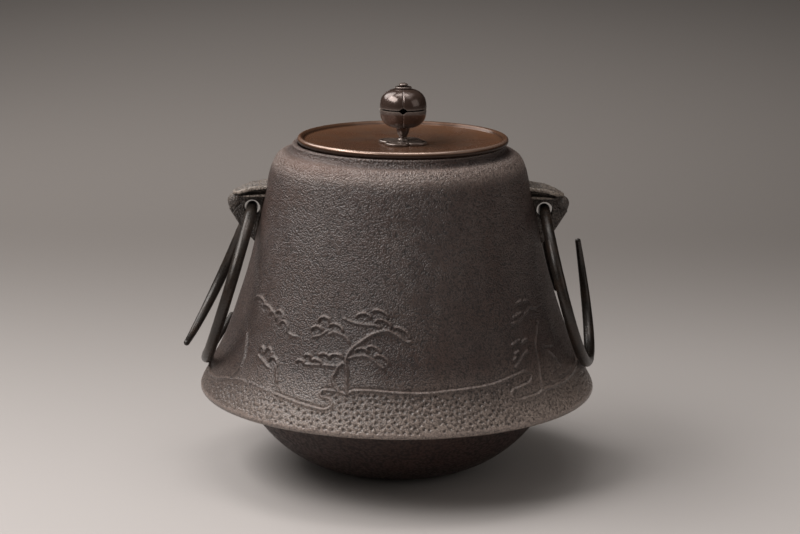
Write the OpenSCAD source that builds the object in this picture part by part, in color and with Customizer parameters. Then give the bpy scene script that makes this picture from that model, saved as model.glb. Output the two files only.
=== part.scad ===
// Tea kettle of cast iron in the mountain form, with a flared skirt, a separate
// bowl bottom, two loose rings and a copper-alloy lid with a bell knob.
// Millimetres, Z up, origin on the table under the middle of the foot.
// The rings hang on the X axis, left at -X and right at +X.

/* [Base bowl] */
// Height of the skirt's underside above the table
base_h = 46.3; // [36:0.1:60]
// Diameter of the flat foot
foot_d = 60; // [54:1:90]
// Thickness of the bowl
bowl_t = 4; // [3:0.1:6]
// Width of the step under the skirt that stops the bowl
bowl_step = 4; // [2:0.1:7]
// Wall of the upright spigot that enters the seat
spigot_t = 3.5; // [2.5:0.1:5]
// How far the spigot stands above the skirt's floor
spigot_rise = 4; // [3:0.1:8]
// Radial play of the spigot in its seat
seat_play = 0.3; // [0.1:0.05:0.6]

/* [Kettle body] */
// Widest diameter, across the skirt
skirt_d = 240; // [215:1:270]
// Height from the skirt's underside to the mouth rim
body_h = 152.7; // [130:0.1:180]
// Height of the rounded skirt edge
edge_h = 15.2; // [11:0.1:20]
// How far the rounded edge stands out past the flare above it
edge_reach = 5; // [3:0.1:8]
// Height of the widest circle above the skirt's underside
edge_nose = 5; // [4.8:0.1:8]
// Depth of the edge below its widest circle
edge_lip = 2.6; // [2:0.1:4]
// Rounding under the widest circle
edge_round = 2.5; // [2:0.1:6]
// Width of the ring-shaped floor between the edge and the seat
floor_w = 26.5; // [18:0.5:32]
// Thickness of the ring-shaped floor
floor_t = 4.7; // [3.5:0.1:7]
// Thickness of the wall
wall_t = 4.2; // [3:0.1:6]
// Lean of the wall below the shoulder, in degrees from upright
wall_lean = 11.3; // [6:0.1:16]
// Lean of the wall where it runs out into the skirt
flare_lean = 30; // [24:1:36]
// Inner diameter of the mouth
mouth_d = 121; // [105:0.5:135]
// Thickness of the upright mouth rim
rim_t = 3.5; // [2.5:0.1:5]
// Height of the mouth rim above the shoulder
rim_h = 4.5; // [3.5:0.1:8]
// Fillet between the rim and the shoulder
rim_fillet = 3.5; // [2:0.1:5]
// Width of the round shoulder
shoulder_w = 10.9; // [8:0.1:16]
// Height of the round shoulder
shoulder_h = 16.6; // [12:0.1:24]

/* [Seam seal] */
// Width of the sealing bead on the floor
seal_w = 6; // [3:0.1:9]

/* [Lugs] */
// Depth of the hole below the mouth rim
lug_drop = 39.8; // [34:0.1:48]
// Distance of the hole's axis from the wall
lug_stand = 5.9; // [5.7:0.1:9]
// Thickness of the lug along the hole
lug_t = 11; // [8:0.1:13]
// Radius of the round outer end
bulb_r = 5.3; // [4:0.1:7]
// Reach of the round end past the hole's axis
bulb_reach = 14.6; // [12:0.1:18]
// Height of the round end's middle above the hole
bulb_rise = 2.3; // [0:0.1:4]
// Reach of the tapering foot past the hole's axis, at its bend
strut_reach = 6.5; // [5.5:0.1:9]
// Depth of that bend below the hole
strut_bend = 12.2; // [9:0.1:15]
// How far the foot runs down the wall
strut_drop = 21; // [16:0.1:28]
// Width of the shell-shaped roof at the wall
roof_w = 20; // [15:0.5:26]
// Crown of the roof across its width
roof_crown = 3.3; // [2:0.1:5]
// Thickness of the roof's edge
roof_edge_t = 1.5; // [1:0.1:3]
// Height of the roof's ridge above the hole, at the wall
roof_rise = 17.3; // [14:0.1:21]
// Height of the roof's tip above the hole
roof_tip_rise = 10.2; // [9:0.1:12]
// Reach of the roof's tip past the hole's axis
roof_reach = 11.8; // [9:0.1:16]
// Diameter of the root that keys the lug into the wall
root_d = 8; // [5:0.1:11]
// Depth of the root in the wall
root_depth = 2.6; // [1.5:0.1:2.9]
// Radial play of the root in its socket
root_play = 0.05; // [0.02:0.01:0.2]

/* [Rings] */
// Diameter of the ring at the middle of its wire
ring_d = 96; // [80:1:105]
// Thickness of the wire
ring_wire_d = 7; // [5:0.1:9]
// Thickness of the wire at its tips
ring_tip_d = 3.5; // [2.5:0.1:5]
// Length of the taper at each end
ring_taper = 75; // [40:1:75]
// Play of the wire in the lug's hole, across the hole
hole_play = 2.7; // [1.8:0.1:4]
// Least gap between a ring and what it leans on
ring_gap = 0.35; // [0.2:0.05:0.8]
// Turn of the left ring about its own height, in degrees
left_turn = 2; // [0:0.5:4]
// Turn of the right ring
right_turn = 5; // [0:0.5:6]
// How far the right ring is pulled open sideways over half a turn
right_coil = 8.6; // [6:0.1:12]

/* [Lid] */
// How far the lid's edge stays inside the rim's outer edge
lid_inset = 0.6; // [-2:0.1:2]
// Height of the round lip at the lid's edge
lip_h = 4.1; // [3:0.1:6]
// Width of the lip
lip_w = 3.4; // [2.5:0.1:5]
// Depth of the dished top below the lip
lid_dish = 4.6; // [3:0.1:6]
// Thickness of the lid in the middle
lid_t = 2.6; // [1.8:0.1:4]
// Gap between the lid and the rim that it rests on
lid_gap = 0.1; // [0.05:0.05:0.4]
// Depth of the collar under the lid
collar_h = 8; // [5:0.1:14]
// Wall of the collar
collar_t = 2; // [1.2:0.1:3]
// Radial play of the collar in the mouth
collar_play = 3; // [1:0.1:4]
// Gap left on the side that the lid is pushed to
collar_gap = 0.6; // [0.4:0.1:1]

/* [Knob] */
// Width of the flower-shaped seat
seat_w = 30.6; // [26:0.1:38]
// Thickness of the seat
seat_t = 2; // [1.2:0.1:3]
// Petals of the seat
seat_petals = 4; // [4:1:6]
// Height of the stem
stem_h = 7.4; // [5:0.1:12]
// Wall of the stem at its waist
stem_t = 0.8; // [0.5:0.1:1.4]
// How far the stem's foot spreads past its waist
stem_spread = 0.9; // [0.3:0.1:2]
// Diameter of the stem's top
stem_top_d = 8.2; // [7:0.1:10]
// Diameter of the bell
bell_d = 28.6; // [24:0.1:34]
// Height of the bell
bell_h = 23.6; // [20:0.1:28]
// Fullness of the bell's outline: 2 is an ellipse, more is squarer
bell_form = 2.6; // [2:0.1:3]
// Wall of the bell
bell_t = 1.6; // [1.2:0.1:2.2]
// Width of the slit round the bell's middle
slit_w = 0.9; // [0.5:0.1:1.4]
// Depth of the slit and of the upright grooves
slit_depth = 0.6; // [0.4:0.1:0.9]
// Diameter of the four sound holes
sound_hole_d = 4.4; // [3:0.1:6]
// Diameter of the washer on the bell
washer_d = 10; // [8:0.1:13]
// Thickness of the washers
washer_t = 1.3; // [0.8:0.1:2]
// Diameter of the rod through the knob
pin_d = 3; // [2.4:0.1:4]
// How far the peened button on top spreads past the rod
button_spread = 1.3; // [0.8:0.1:2]
// Height of the peened button
button_h = 2.2; // [1.5:0.1:3]
// How far the peened tail under the lid spreads past the rod
tail_spread = 1.8; // [1:0.1:3]
// Height of the peened tail
tail_h = 1.4; // [1:0.1:2]
// Radial play of the rod in the lid
pin_play = 0.06; // [0.03:0.01:0.1]
// End play of the knob on the lid
knob_gap = 0.1; // [0.05:0.05:0.3]

/* [Sound plates] */
// Iron plates stuck to the bottom inside
plate_count = 3; // [3:1:4]
// Length of a plate
plate_l = 15; // [10:0.5:16]
// Width of a plate
plate_w = 10; // [7:0.5:11]
// Thickness of a plate
plate_t = 2; // [1:0.1:3]
// Thickness of the lacquer bed under a plate
pad_t = 0.8; // [0.5:0.1:1.5]
// How far the bed shows round the plate
pad_rim = 1; // [0.5:0.1:1.5]

/* [Hidden] */
$fn = 96;

// Radii and heights of the two castings
skirt_r = skirt_d / 2;
edge_r = skirt_r - edge_reach;
seat_r = skirt_r - edge_round - floor_w;
spigot_r = seat_r - seat_play;
bowl_r = seat_r + bowl_step;
foot_r = foot_d / 2;
mouth_r = mouth_d / 2;
rim_r = mouth_r + rim_t;
rim_foot_r = rim_r + rim_fillet;
shoulder_r = rim_foot_r + shoulder_w;
rim_z = base_h + body_h;
shoulder_top_z = rim_z - rim_h;
shoulder_z = shoulder_top_z - shoulder_h;
edge_z = base_h + edge_h;
nose_z = base_h + edge_nose;
floor_z = base_h + floor_t;
spigot_z = floor_z + spigot_rise;
wall_h = shoulder_z - edge_z;

// Cubic curves: points, direction, and points moved to the right of the way along
function bezier(p, t) = pow(1 - t, 3) * p[0] + 3 * t * pow(1 - t, 2) * p[1]
    + 3 * t * t * (1 - t) * p[2] + pow(t, 3) * p[3];
function bezier_way(p, t) = pow(1 - t, 2) * (p[1] - p[0])
    + 2 * t * (1 - t) * (p[2] - p[1]) + t * t * (p[3] - p[2]);
function curve(p, n) = [for (i = [0 : n]) bezier(p, i / n)];
function beside(p, n, d) = [for (i = [0 : n])
    let (v = bezier_way(p, i / n)) bezier(p, i / n) + d * [v[1], -v[0]] / norm(v)];
function turned(list) = [for (i = [len(list) - 1 : -1 : 0]) list[i]];

// A curve leaves each end towards a handle, this share of its height or width away
round_pull = 0.55;
wall_top_pull = 0.386;
wall_foot_pull = 0.258;
edge_pull = 0.3;
cavity_lift = 0.15;
bowl_foot_pull = 0.43;
bowl_edge_pull = 0.2;

// Outer curves of the body, from the mouth down, as radius and height
rim_curve = [[rim_r, shoulder_top_z + rim_fillet], [rim_r, shoulder_top_z + (1 - round_pull) * rim_fillet],
    [rim_foot_r - round_pull * rim_fillet, shoulder_top_z], [rim_foot_r, shoulder_top_z]];
shoulder_pull = round_pull * shoulder_h;
shoulder_curve = [[rim_foot_r, shoulder_top_z], [rim_foot_r + round_pull * shoulder_w, shoulder_top_z],
    [shoulder_r - tan(wall_lean) * shoulder_pull, shoulder_z + shoulder_pull], [shoulder_r, shoulder_z]];
wall_top = wall_top_pull * wall_h;
wall_foot = wall_foot_pull * wall_h;
wall_curve = [[shoulder_r, shoulder_z], [shoulder_r + tan(wall_lean) * wall_top, shoulder_z - wall_top],
    [edge_r - tan(flare_lean) * wall_foot, edge_z + wall_foot], [edge_r, edge_z]];
function edge_down_to(z, pull) = let (drop = (edge_z - z) / 2) [[edge_r, edge_z],
    [edge_r + tan(flare_lean) * drop, edge_z - drop], [skirt_r, z + pull * drop], [skirt_r, z]];
edge_curve = edge_down_to(nose_z, edge_pull);
under_curve = [[skirt_r, nose_z], [skirt_r, nose_z - round_pull * edge_lip],
    [skirt_r - (1 - round_pull) * edge_round, nose_z - edge_lip],
    [skirt_r - edge_round, nose_z - edge_lip]];

// Steps along each curve
rim_steps = 4;
shoulder_steps = 8;
wall_steps = 14;
edge_steps = 6;

body_outline = concat([[rim_r, rim_z]], curve(rim_curve, rim_steps),
    curve(shoulder_curve, shoulder_steps), curve(wall_curve, wall_steps),
    curve(edge_curve, edge_steps), curve(under_curve, edge_steps), [[bowl_r, base_h]]);
cavity_edge = edge_down_to(max(nose_z, floor_z + cavity_lift * floor_t), round_pull);
cavity_outline = concat(beside(shoulder_curve, shoulder_steps, wall_t),
    beside(wall_curve, wall_steps, wall_t), beside(cavity_edge, edge_steps, wall_t));

// Outer curve of the bowl, and the hollow inside it
bowl_w = bowl_r - foot_r;
bowl_curve = [[foot_r, 0], [foot_r + bowl_foot_pull * bowl_w, 0],
    [bowl_r - bowl_edge_pull * bowl_w, bowl_foot_pull * base_h], [bowl_r, base_h]];
spigot_in_r = spigot_r - spigot_t;
hollow_w = spigot_in_r - foot_r;
hollow_curve = [[foot_r, bowl_t], [foot_r + bowl_foot_pull * hollow_w, bowl_t],
    [spigot_in_r - bowl_edge_pull * hollow_w, bowl_t + bowl_foot_pull * (base_h - bowl_t)],
    [spigot_in_r, base_h]];
bowl_steps = 16;

// Place along a falling curve of its point at a height, found by halving
function fall_at(p, z, lo, hi, n) = n == 0 ? (lo + hi) / 2
    : bezier(p, (lo + hi) / 2)[1] > z ? fall_at(p, z, (lo + hi) / 2, hi, n - 1)
    : fall_at(p, z, lo, (lo + hi) / 2, n - 1);
function wall_r(z) = bezier(wall_curve, fall_at(wall_curve, z, 0, 1, 16))[0];

// Distance of a point from the wall or the skirt's edge, square to it at the point's height
function wall_gap(p) = let (skin = p[2] > edge_z ? wall_curve : edge_curve,
    t = fall_at(skin, p[2], 0, 1, 16), way = bezier_way(skin, t))
    (norm([p[0], p[1]]) - bezier(skin, t)[0]) * abs(way[1]) / norm(way);

// Lugs and ring holes
hole_r = (ring_wire_d + hole_play) / 2;
lug_z = rim_z - lug_drop;
lug_x = wall_r(lug_z) + lug_stand;
into_wall = 2 * wall_t + lug_stand;

// Rings: middle of the wire, and how low it hangs in the hole
ring_r = ring_d / 2;
wire_r = ring_wire_d / 2;
tip_r = ring_tip_d / 2;
hole_angle = asin(lug_t / 2 / ring_r);
ring_sag = ring_r * (1 - cos(hole_angle));
function slant(turn, coil) = abs(sin(turn) * lug_t / 2 - coil * hole_angle / 180);
ring_slant = max(slant(left_turn, 0), slant(right_turn, right_coil));
ring_hang = sqrt(max(0, pow(hole_play / 2 - ring_gap, 2) - pow(ring_slant, 2))) - ring_sag;

// A ring is half a turn in front, and two free ends behind that may be bent out of its plane.
// Its ways are down the plane, along the hole and out of the plane.
function way_down(lean) = [sin(lean), 0, -cos(lean)];
function way_along(lean, turn) = [sin(turn) * cos(lean), cos(turn), sin(turn) * sin(lean)];
function way_out(lean, turn) = cross(way_down(lean), way_along(lean, turn));
function front_at(lean, turn, coil, a) = (ring_hang + ring_r * (1 - cos(a))) * way_down(lean)
    - ring_r * sin(a) * way_along(lean, turn) + coil * a / 180 * way_out(lean, turn);

// Free ends of the rings, from the hole and from the foot of the ring, in degrees:
// how far each runs round, and its bend out of the ring's plane at its root and its tip
left_top_end = [174, -1, 8.5];
left_foot_end = [57, -45, -24];
right_top_end = [107, -8, 0];
right_foot_end = [111, 0, 0];
wire_sides = 12;
wire_step = 7;

// Lid and knob heights, and the axis that the lid is pushed to
lid_shift = collar_play - collar_gap;
lid_z = rim_z + lid_gap;
lid_r = rim_r - lid_inset;
dish_z = lid_z + lip_h - lid_dish;
collar_r = mouth_r - collar_play;
collar_in_r = collar_r - collar_t;
pin_r = pin_d / 2;
waist_r = pin_r + stem_t;
button_r = pin_r + button_spread;
tail_r = pin_r + tail_spread;
land_r = seat_w / 2 + 1;
stem_z = dish_z + seat_t + knob_gap;
bell_z = stem_z + stem_h;
washer_z = bell_z + bell_h;
button_z = washer_z + washer_t;
under_z = dish_z - lid_t - knob_gap;
tail_z = under_z - washer_t;

// Ovals of a given fullness, and the angle on one where its width or its height is some share
function fuller(v, form) = sign(v) * pow(abs(v), 2 / form);
function oval(a, b, form, from, to, n) = [for (i = [0 : n])
    let (t = from + (to - from) * i / n) [a * fuller(cos(t), form), b * fuller(sin(t), form)]];
function angle_at_width(share, form) = acos(pow(share, form / 2));
function angle_at_height(share, form) = asin(pow(share, form / 2));

// The bell is an oval cut flat at both poles
bell_r = bell_d / 2;
flat_r = stem_top_d / 2;
flat_angle = angle_at_width(flat_r / bell_r, bell_form);
bell_b = bell_h / 2 / fuller(sin(flat_angle), bell_form);
bell_mid_z = bell_z + bell_h / 2;
bell_steps = 12;
groove_steps = 48;

// Body casting
module body_solid() {
    rotate_extrude() polygon(concat(body_outline, [[0, base_h], [0, rim_z]]));
}

module lug_sockets() {
    for (side = [-1, 1])
        translate([side * lug_x, 0, lug_z])
            rotate([0, side * -90, 0])
                cylinder(r = root_d / 2 + root_play, h = lug_stand + root_depth);
}

module kettle_body() {
    color("#4a4440")
        difference() {
            rotate_extrude()
                polygon(concat(body_outline,
                    [[seat_r, base_h], [seat_r, floor_z], [skirt_r - 2 * wall_t, floor_z]],
                    turned(cavity_outline), [[mouth_r, shoulder_top_z - wall_t], [mouth_r, rim_z]]));
            lug_sockets();
        }
}

// Bowl with its spigot and stop
module base_bowl() {
    color("#3b302b")
        rotate_extrude()
            polygon(concat([[0, 0]], curve(bowl_curve, bowl_steps),
                [[spigot_r, base_h], [spigot_r, spigot_z], [spigot_in_r, spigot_z]],
                turned(curve(hollow_curve, bowl_steps)), [[0, bowl_t]]));
}

module seam_seal() {
    color("#2a211c")
        rotate_extrude()
            polygon([[spigot_r, floor_z], [spigot_r + seal_w, floor_z],
                [spigot_r + 0.3 * seal_w, floor_z + 0.4 * spigot_rise],
                [spigot_r, floor_z + spigot_rise]]);
}

// One lug, with its hole's axis through the origin and its tip towards +X
module roof_slice(x, z, width, crown) {
    steps = 10;
    thin = 0.4;
    ridge = [for (i = [0 : steps]) let (u = 2 * i / steps - 1) [u * width / 2, crown * (1 - u * u)]];
    translate([x, 0, z - crown])
        rotate([90, 0, 90])
            linear_extrude(height = thin)
                polygon(concat([[width / 2, -roof_edge_t], [-width / 2, -roof_edge_t]], ridge));
}

module lug_roof() {
    tip = roof_edge_t / 2;
    narrowing = 0.8;
    middle_rise = (roof_rise + roof_tip_rise) / 2 + roof_crown / 2;
    hull() {
        roof_slice(-into_wall, roof_rise, roof_w, roof_crown);
        roof_slice(0, middle_rise, narrowing * roof_w, narrowing * roof_crown);
        translate([roof_reach - tip, 0, roof_tip_rise - tip]) sphere(r = tip, $fn = 24);
    }
}

module lug_lower_shell() {
    crown = roof_edge_t / 2;
    shell_rise = bulb_rise + bulb_r;
    hull() {
        roof_slice(-into_wall, shell_rise + roof_edge_t, lug_t + roof_crown, crown);
        roof_slice(bulb_reach - 1.4 * bulb_r, shell_rise, lug_t - roof_edge_t, crown);
    }
}

module lug_web() {
    bulb_x = bulb_reach - bulb_r;
    leave = 32;
    wall_shift = tan(wall_lean) * strut_drop - lug_stand;
    rotate([90, 0, 0])
        linear_extrude(height = lug_t, center = true)
            polygon([[-into_wall, roof_rise - roof_crown],
                [roof_reach - roof_crown, roof_tip_rise - roof_edge_t], [bulb_x, bulb_rise + bulb_r],
                [bulb_x + bulb_r * cos(leave), bulb_rise - bulb_r * sin(leave)],
                [strut_reach, -strut_bend], [wall_shift, -strut_drop], [-into_wall, -strut_drop]]);
    translate([bulb_x, 0, bulb_rise]) sphere(r = bulb_r);
}

module lug(side) {
    color("#443d38")
        mirror([side < 0 ? 1 : 0, 0, 0])
            difference() {
                union() {
                    difference() {
                        translate([lug_x, 0, lug_z]) {
                            lug_web();
                            lug_roof();
                            lug_lower_shell();
                        }
                        body_solid();
                    }
                    translate([lug_x, 0, lug_z])
                        rotate([0, -90, 0])
                            cylinder(r = root_d / 2, h = lug_stand + root_depth - root_play);
                }
                translate([lug_x, 0, lug_z])
                    rotate([90, 0, 0])
                        cylinder(r = hole_r, h = roof_w + lug_t, center = true);
            }
}

module lug_left() { lug(-1); }
module lug_right() { lug(1); }

// Tube along a path of points, with its own radius at each, as one closed skin
function span(path, i) = path[min(i + 1, len(path) - 1)] - path[max(i - 1, 0)];
function unit(v) = v / norm(v);
function hoop(path, radii, up, i) =
    let (t = unit(span(path, i)), u = unit(up - (up * t) * t), v = cross(t, u))
    [for (k = [0 : wire_sides - 1])
        path[i] + radii[i] * (cos(360 * k / wire_sides) * u + sin(360 * k / wire_sides) * v)];

module tube(path, radii, up) {
    last = len(path) - 1;
    points = [for (i = [0 : last]) each hoop(path, radii, up, i)];
    sides = [for (i = [0 : last - 1], k = [0 : wire_sides - 1])
        let (a = i * wire_sides + k, b = i * wire_sides + (k + 1) % wire_sides)
        each [[a, a + wire_sides, b], [b, a + wire_sides, b + wire_sides]]];
    caps = [for (k = [1 : wire_sides - 2]) each [[0, k, k + 1],
        [last * wire_sides, last * wire_sides + k + 1, last * wire_sides + k]]];
    polyhedron(points = points, faces = concat(sides, caps), convexity = 6);
}

// The middle line of a ring, from the tip of its top end to the tip of its foot end
function run_angles(run) = [for (i = [0 : ceil(run / wire_step)]) run * i / ceil(run / wire_step)];
function bend_at(end, a) = end[1] + (end[2] - end[1]) * a / end[0];
function free_end(root, down, along, rise, out, end) = [for (a = run_angles(end[0]))
    let (b = bend_at(end, a))
    root + ring_r * (sin(a) * along + (1 - cos(a)) * (cos(b) * down + sin(b) * out))
        + rise * a / 180 * out];
function top_run(lean, turn, coil, end) = free_end(front_at(lean, turn, coil, 0),
    way_down(lean), way_along(lean, turn), -coil, way_out(lean, turn), end);
function foot_run(lean, turn, coil, end) = free_end(front_at(lean, turn, coil, 180),
    -way_down(lean), way_along(lean, turn), coil, way_out(lean, turn), end);
function ring_path(lean, turn, coil, top_end, foot_end) = concat(
    turned(top_run(lean, turn, coil, top_end)),
    [for (a = run_angles(180)) if (a > 0 && a < 180) front_at(lean, turn, coil, a)],
    foot_run(lean, turn, coil, foot_end));

// Least gap to the skirt of the lower half of a ring that leans out by some angle
leaning_part = [100 : 5 : 180];
function lower_half(lean, turn, coil, top_end, foot_end) = [
    for (a = leaning_part) front_at(lean, turn, coil, a),
    for (p = top_run(lean, turn, coil, top_end)) if (p[2] < -ring_r) p,
    for (p = foot_run(lean, turn, coil, foot_end)) if (p[2] < -ring_r) p];
function lean_gap(lean, turn, coil, top_end, foot_end) = min([
    for (p = lower_half(lean, turn, coil, top_end, foot_end)) wall_gap([lug_x, 0, lug_z] + p)]) - wire_r;
function lean_for(turn, coil, top_end, foot_end, lo, hi, n) = n == 0 ? hi
    : let (lean = (lo + hi) / 2)
    lean_gap(lean, turn, coil, top_end, foot_end) < ring_gap
    ? lean_for(turn, coil, top_end, foot_end, lean, hi, n - 1)
    : lean_for(turn, coil, top_end, foot_end, lo, lean, n - 1);

function taper_at(s) = tip_r + (wire_r - tip_r) * (s > ring_taper ? 1 : sin(90 * s / ring_taper));
function lengths(path) = [for (i = 0, s = 0; i < len(path); i = i + 1,
    s = s + (i < len(path) ? norm(path[i] - path[i - 1]) : 0)) s];

module ring(side, turn, coil, top_end, foot_end) {
    lean = lean_for(turn, coil, top_end, foot_end, 0, 60, 14);
    path = ring_path(lean, turn, coil, top_end, foot_end);
    far = lengths(path);
    radii = [for (s = far) taper_at(min(s, far[len(far) - 1] - s))];
    color("#2d2724")
        mirror([side < 0 ? 1 : 0, 0, 0])
            translate([lug_x, 0, lug_z]) tube(path, radii, way_out(lean, turn));
}

module ring_left() { ring(-1, left_turn, 0, left_top_end, left_foot_end); }
module ring_right() { ring(1, right_turn, right_coil, right_top_end, right_foot_end); }

// Lid, pushed to one side of the mouth by the play of its collar
module on_lid(z) {
    translate([lid_shift, 0, z]) children();
}

module lid_plate() {
    lip_r = lid_r - lip_w / 2;
    top_z = lip_h - lid_dish;
    lip = oval(lip_w / 2, lip_h / 2, 2, -70, 130, 10);
    dish_r = lid_r - 1.3 * lip_w;
    dish_pull = (dish_r - land_r) / 4;
    dish = [[dish_r, lip_h / 2], [dish_r - dish_pull, lip_h / 6],
        [land_r + dish_pull, top_z], [land_r, top_z]];
    low_z = top_z - lid_t;
    under = [[collar_in_r, 0], [collar_in_r - dish_pull, low_z / 6],
        [land_r + dish_pull, low_z], [land_r, low_z]];
    steps = 8;
    color("#5a4034")
        on_lid(lid_z)
            rotate_extrude()
                polygon(concat([[lip_r, 0]], [for (p = lip) p + [lip_r, lip_h / 2]], curve(dish, steps),
                    [[pin_r + pin_play, top_z], [pin_r + pin_play, low_z]], turned(curve(under, steps))));
}

module lid_collar() {
    color("#523a2f")
        on_lid(lid_z - collar_h)
            difference() {
                cylinder(r = collar_r, h = collar_h);
                translate([0, 0, -1]) cylinder(r = collar_in_r, h = collar_h + 2);
            }
}

// Knob, from its seat to the peened rod
module knob_seat() {
    petal_r = seat_w / seat_petals;
    petal_at = seat_w / 2 - petal_r;
    first_petal = -114;
    color("#3a2d27")
        on_lid(dish_z)
            linear_extrude(height = seat_t)
                difference() {
                    union() {
                        circle(r = petal_at);
                        for (i = [0 : seat_petals - 1])
                            rotate(360 * i / seat_petals + first_petal)
                                translate([petal_at, 0])
                                    circle(r = petal_r);
                    }
                    circle(r = pin_r + pin_play);
                }
}

module knob_stem() {
    waist_z = stem_h / 4;
    foot_curve = [[waist_r + stem_spread, 0], [waist_r + stem_spread, waist_z / 2],
        [waist_r, waist_z / 2], [waist_r, waist_z]];
    cup_curve = [[waist_r, waist_z], [waist_r, 1.5 * waist_z],
        [stem_top_d / 2, 2.5 * waist_z], [stem_top_d / 2, stem_h]];
    steps = 6;
    color("#3a332f")
        on_lid(stem_z)
            rotate_extrude()
                polygon(concat([[pin_r, 0]], curve(foot_curve, steps), curve(cup_curve, steps),
                    [[pin_r, stem_h]]));
}

module bell_cuts() {
    for (i = [0 : 3])
        rotate([0, 0, 90 * i]) rotate([0, 90, 0]) cylinder(r = sound_hole_d / 2, h = bell_d);
    for (i = [0 : 1])
        rotate([0, 0, 90 * i])
            rotate([90, 0, 0])
                linear_extrude(height = slit_w, center = true)
                    difference() {
                        square([2 * bell_d, 2 * bell_d], center = true);
                        polygon(oval(bell_r - slit_depth, bell_b - slit_depth, bell_form,
                            0, 360 - 360 / groove_steps, groove_steps - 1));
                    }
}

// Half shell of the bell, open at its middle, with its pole down
module bell_half() {
    inner_r = bell_r - bell_t;
    inner_b = bell_b - bell_t;
    pin_angle = angle_at_width(pin_r / inner_r, bell_form);
    slit_angle = angle_at_height(slit_w / 2 / bell_b, bell_form);
    difference() {
        rotate_extrude()
            polygon(concat([[pin_r, -bell_h / 2]],
                oval(bell_r, bell_b, bell_form, -flat_angle, -slit_angle, bell_steps),
                [[bell_r - slit_depth, -slit_w / 2], [bell_r - slit_depth, 0]],
                oval(inner_r, inner_b, bell_form, 0, -pin_angle, bell_steps)));
        bell_cuts();
    }
}

module bell_lower() {
    color("#46403b") on_lid(bell_mid_z) bell_half();
}

module bell_upper() {
    color("#4a443e") on_lid(bell_mid_z) mirror([0, 0, 1]) bell_half();
}

module washer(d) {
    difference() {
        cylinder(r = d / 2, h = washer_t);
        translate([0, 0, -1]) cylinder(r = pin_r, h = washer_t + 2);
    }
}

module knob_top_washer() {
    color("#3a332f") on_lid(washer_z) washer(washer_d);
}

module rivet_washer() {
    color("#3a332f") on_lid(tail_z) washer(washer_d);
}

module knob_pin() {
    button = oval(button_r, button_h / 2, 2, -60, 90, 10);
    tail = oval(tail_r, tail_h, 2, -90, 0, 5);
    color("#332c28")
        on_lid(0)
            rotate_extrude()
                polygon(concat([for (p = tail) p + [0, tail_z]], [[pin_r, tail_z], [pin_r, button_z]],
                    [[button_r / 2, button_z]], [for (p = button) p + [0, button_z + button_h / 2]]));
}

// Plates stuck flat to the bottom inside, on beds of lacquer
module round_plates(length, width, height, corner) {
    for (i = [0 : plate_count - 1])
        rotate(360 * i / plate_count + 90)
            translate([foot_r - plate_l / 2 - 3 * pad_rim, 0, 0])
                linear_extrude(height = height)
                    union() {
                        square([length - 2 * corner, width], center = true);
                        square([length, width - 2 * corner], center = true);
                        for (sx = [-1, 1], sy = [-1, 1])
                            translate([sx * (length / 2 - corner), sy * (width / 2 - corner)])
                                circle(r = corner);
                    }
}

module sound_plates() {
    color("#544a42")
        translate([0, 0, bowl_t + pad_t]) round_plates(plate_l, plate_w, plate_t, 2 * pad_rim);
}

module sound_plate_pads() {
    color("#2a211c")
        translate([0, 0, bowl_t])
            round_plates(plate_l + 2 * pad_rim, plate_w + 2 * pad_rim, pad_t, 3 * pad_rim);
}

kettle_body();
base_bowl();
seam_seal();
lug_left();
lug_right();
ring_left();
ring_right();
lid_plate();
lid_collar();
knob_seat();
knob_stem();
bell_lower();
bell_upper();
knob_top_washer();
knob_pin();
rivet_washer();
sound_plates();
sound_plate_pads();
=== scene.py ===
"""Looks of a cast-iron tea kettle with a bell-knobbed lid and two loose rings.

Sizes are millimetres, as on the drawing of the kettle, and become metres as each mesh is written.
Bearings are degrees round the kettle from the front, with the right-hand lug at 90.
"""

import itertools
import math

import bmesh
import bpy
import numpy as np
from mathutils import Matrix, Vector, kdtree


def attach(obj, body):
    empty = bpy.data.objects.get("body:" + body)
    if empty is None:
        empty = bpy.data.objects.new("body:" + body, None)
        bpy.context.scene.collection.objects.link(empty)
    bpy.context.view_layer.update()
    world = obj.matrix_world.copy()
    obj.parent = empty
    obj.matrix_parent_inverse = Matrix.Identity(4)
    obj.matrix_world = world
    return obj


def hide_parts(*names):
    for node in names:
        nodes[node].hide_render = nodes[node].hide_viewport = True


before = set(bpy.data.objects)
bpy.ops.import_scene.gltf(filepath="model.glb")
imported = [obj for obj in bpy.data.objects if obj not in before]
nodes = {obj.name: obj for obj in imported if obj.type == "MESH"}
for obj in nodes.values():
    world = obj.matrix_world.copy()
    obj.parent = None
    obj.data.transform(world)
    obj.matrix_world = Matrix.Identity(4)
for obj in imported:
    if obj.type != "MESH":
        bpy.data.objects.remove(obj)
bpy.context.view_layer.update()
scene = bpy.context.scene
MM = 0.001

# Drawing of the kettle: radius and height along each curve, from the mouth down
LID_SHIFT = 2.4
MOUTH_R, RIM_R, RIM_Z, NECK_Z = 60.5, 64.0, 199.0, 197.9
WALL_T = 4.2
SEAT_R, FLOOR_Z, BASE_Z = 91.0, 51.0, 46.3
SHOULDER_CURVE = [(67.5, 194.5), (73.495, 194.5), (76.576, 187.03), (78.4, 177.9)]
WALL_CURVE = [(78.4, 177.9), (87.378, 132.97), (97.662, 91.53), (115, 61.5)]
EDGE_CURVE = [(115, 61.5), (117.944, 56.4), (119.98, 52.83), (119.98, 51.3)]
INNER_EDGE = [(115, 61.5), (117.828, 56.6), (120, 54.4), (120, 51.705)]
UNDER_CURVE = [(119.98, 51.3), (119.98, 49.87), (118.875, 48.7), (117.5, 48.7)]
BOWL_R = 95.0
BOWL_CURVE = [(30, 0), (57.95, 0), (82, 19.909), (95, 46.3)]
HOLLOW_CURVE = [(87.2, 46.3), (75.76, 22.189), (54.596, 4), (30, 4)]
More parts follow.
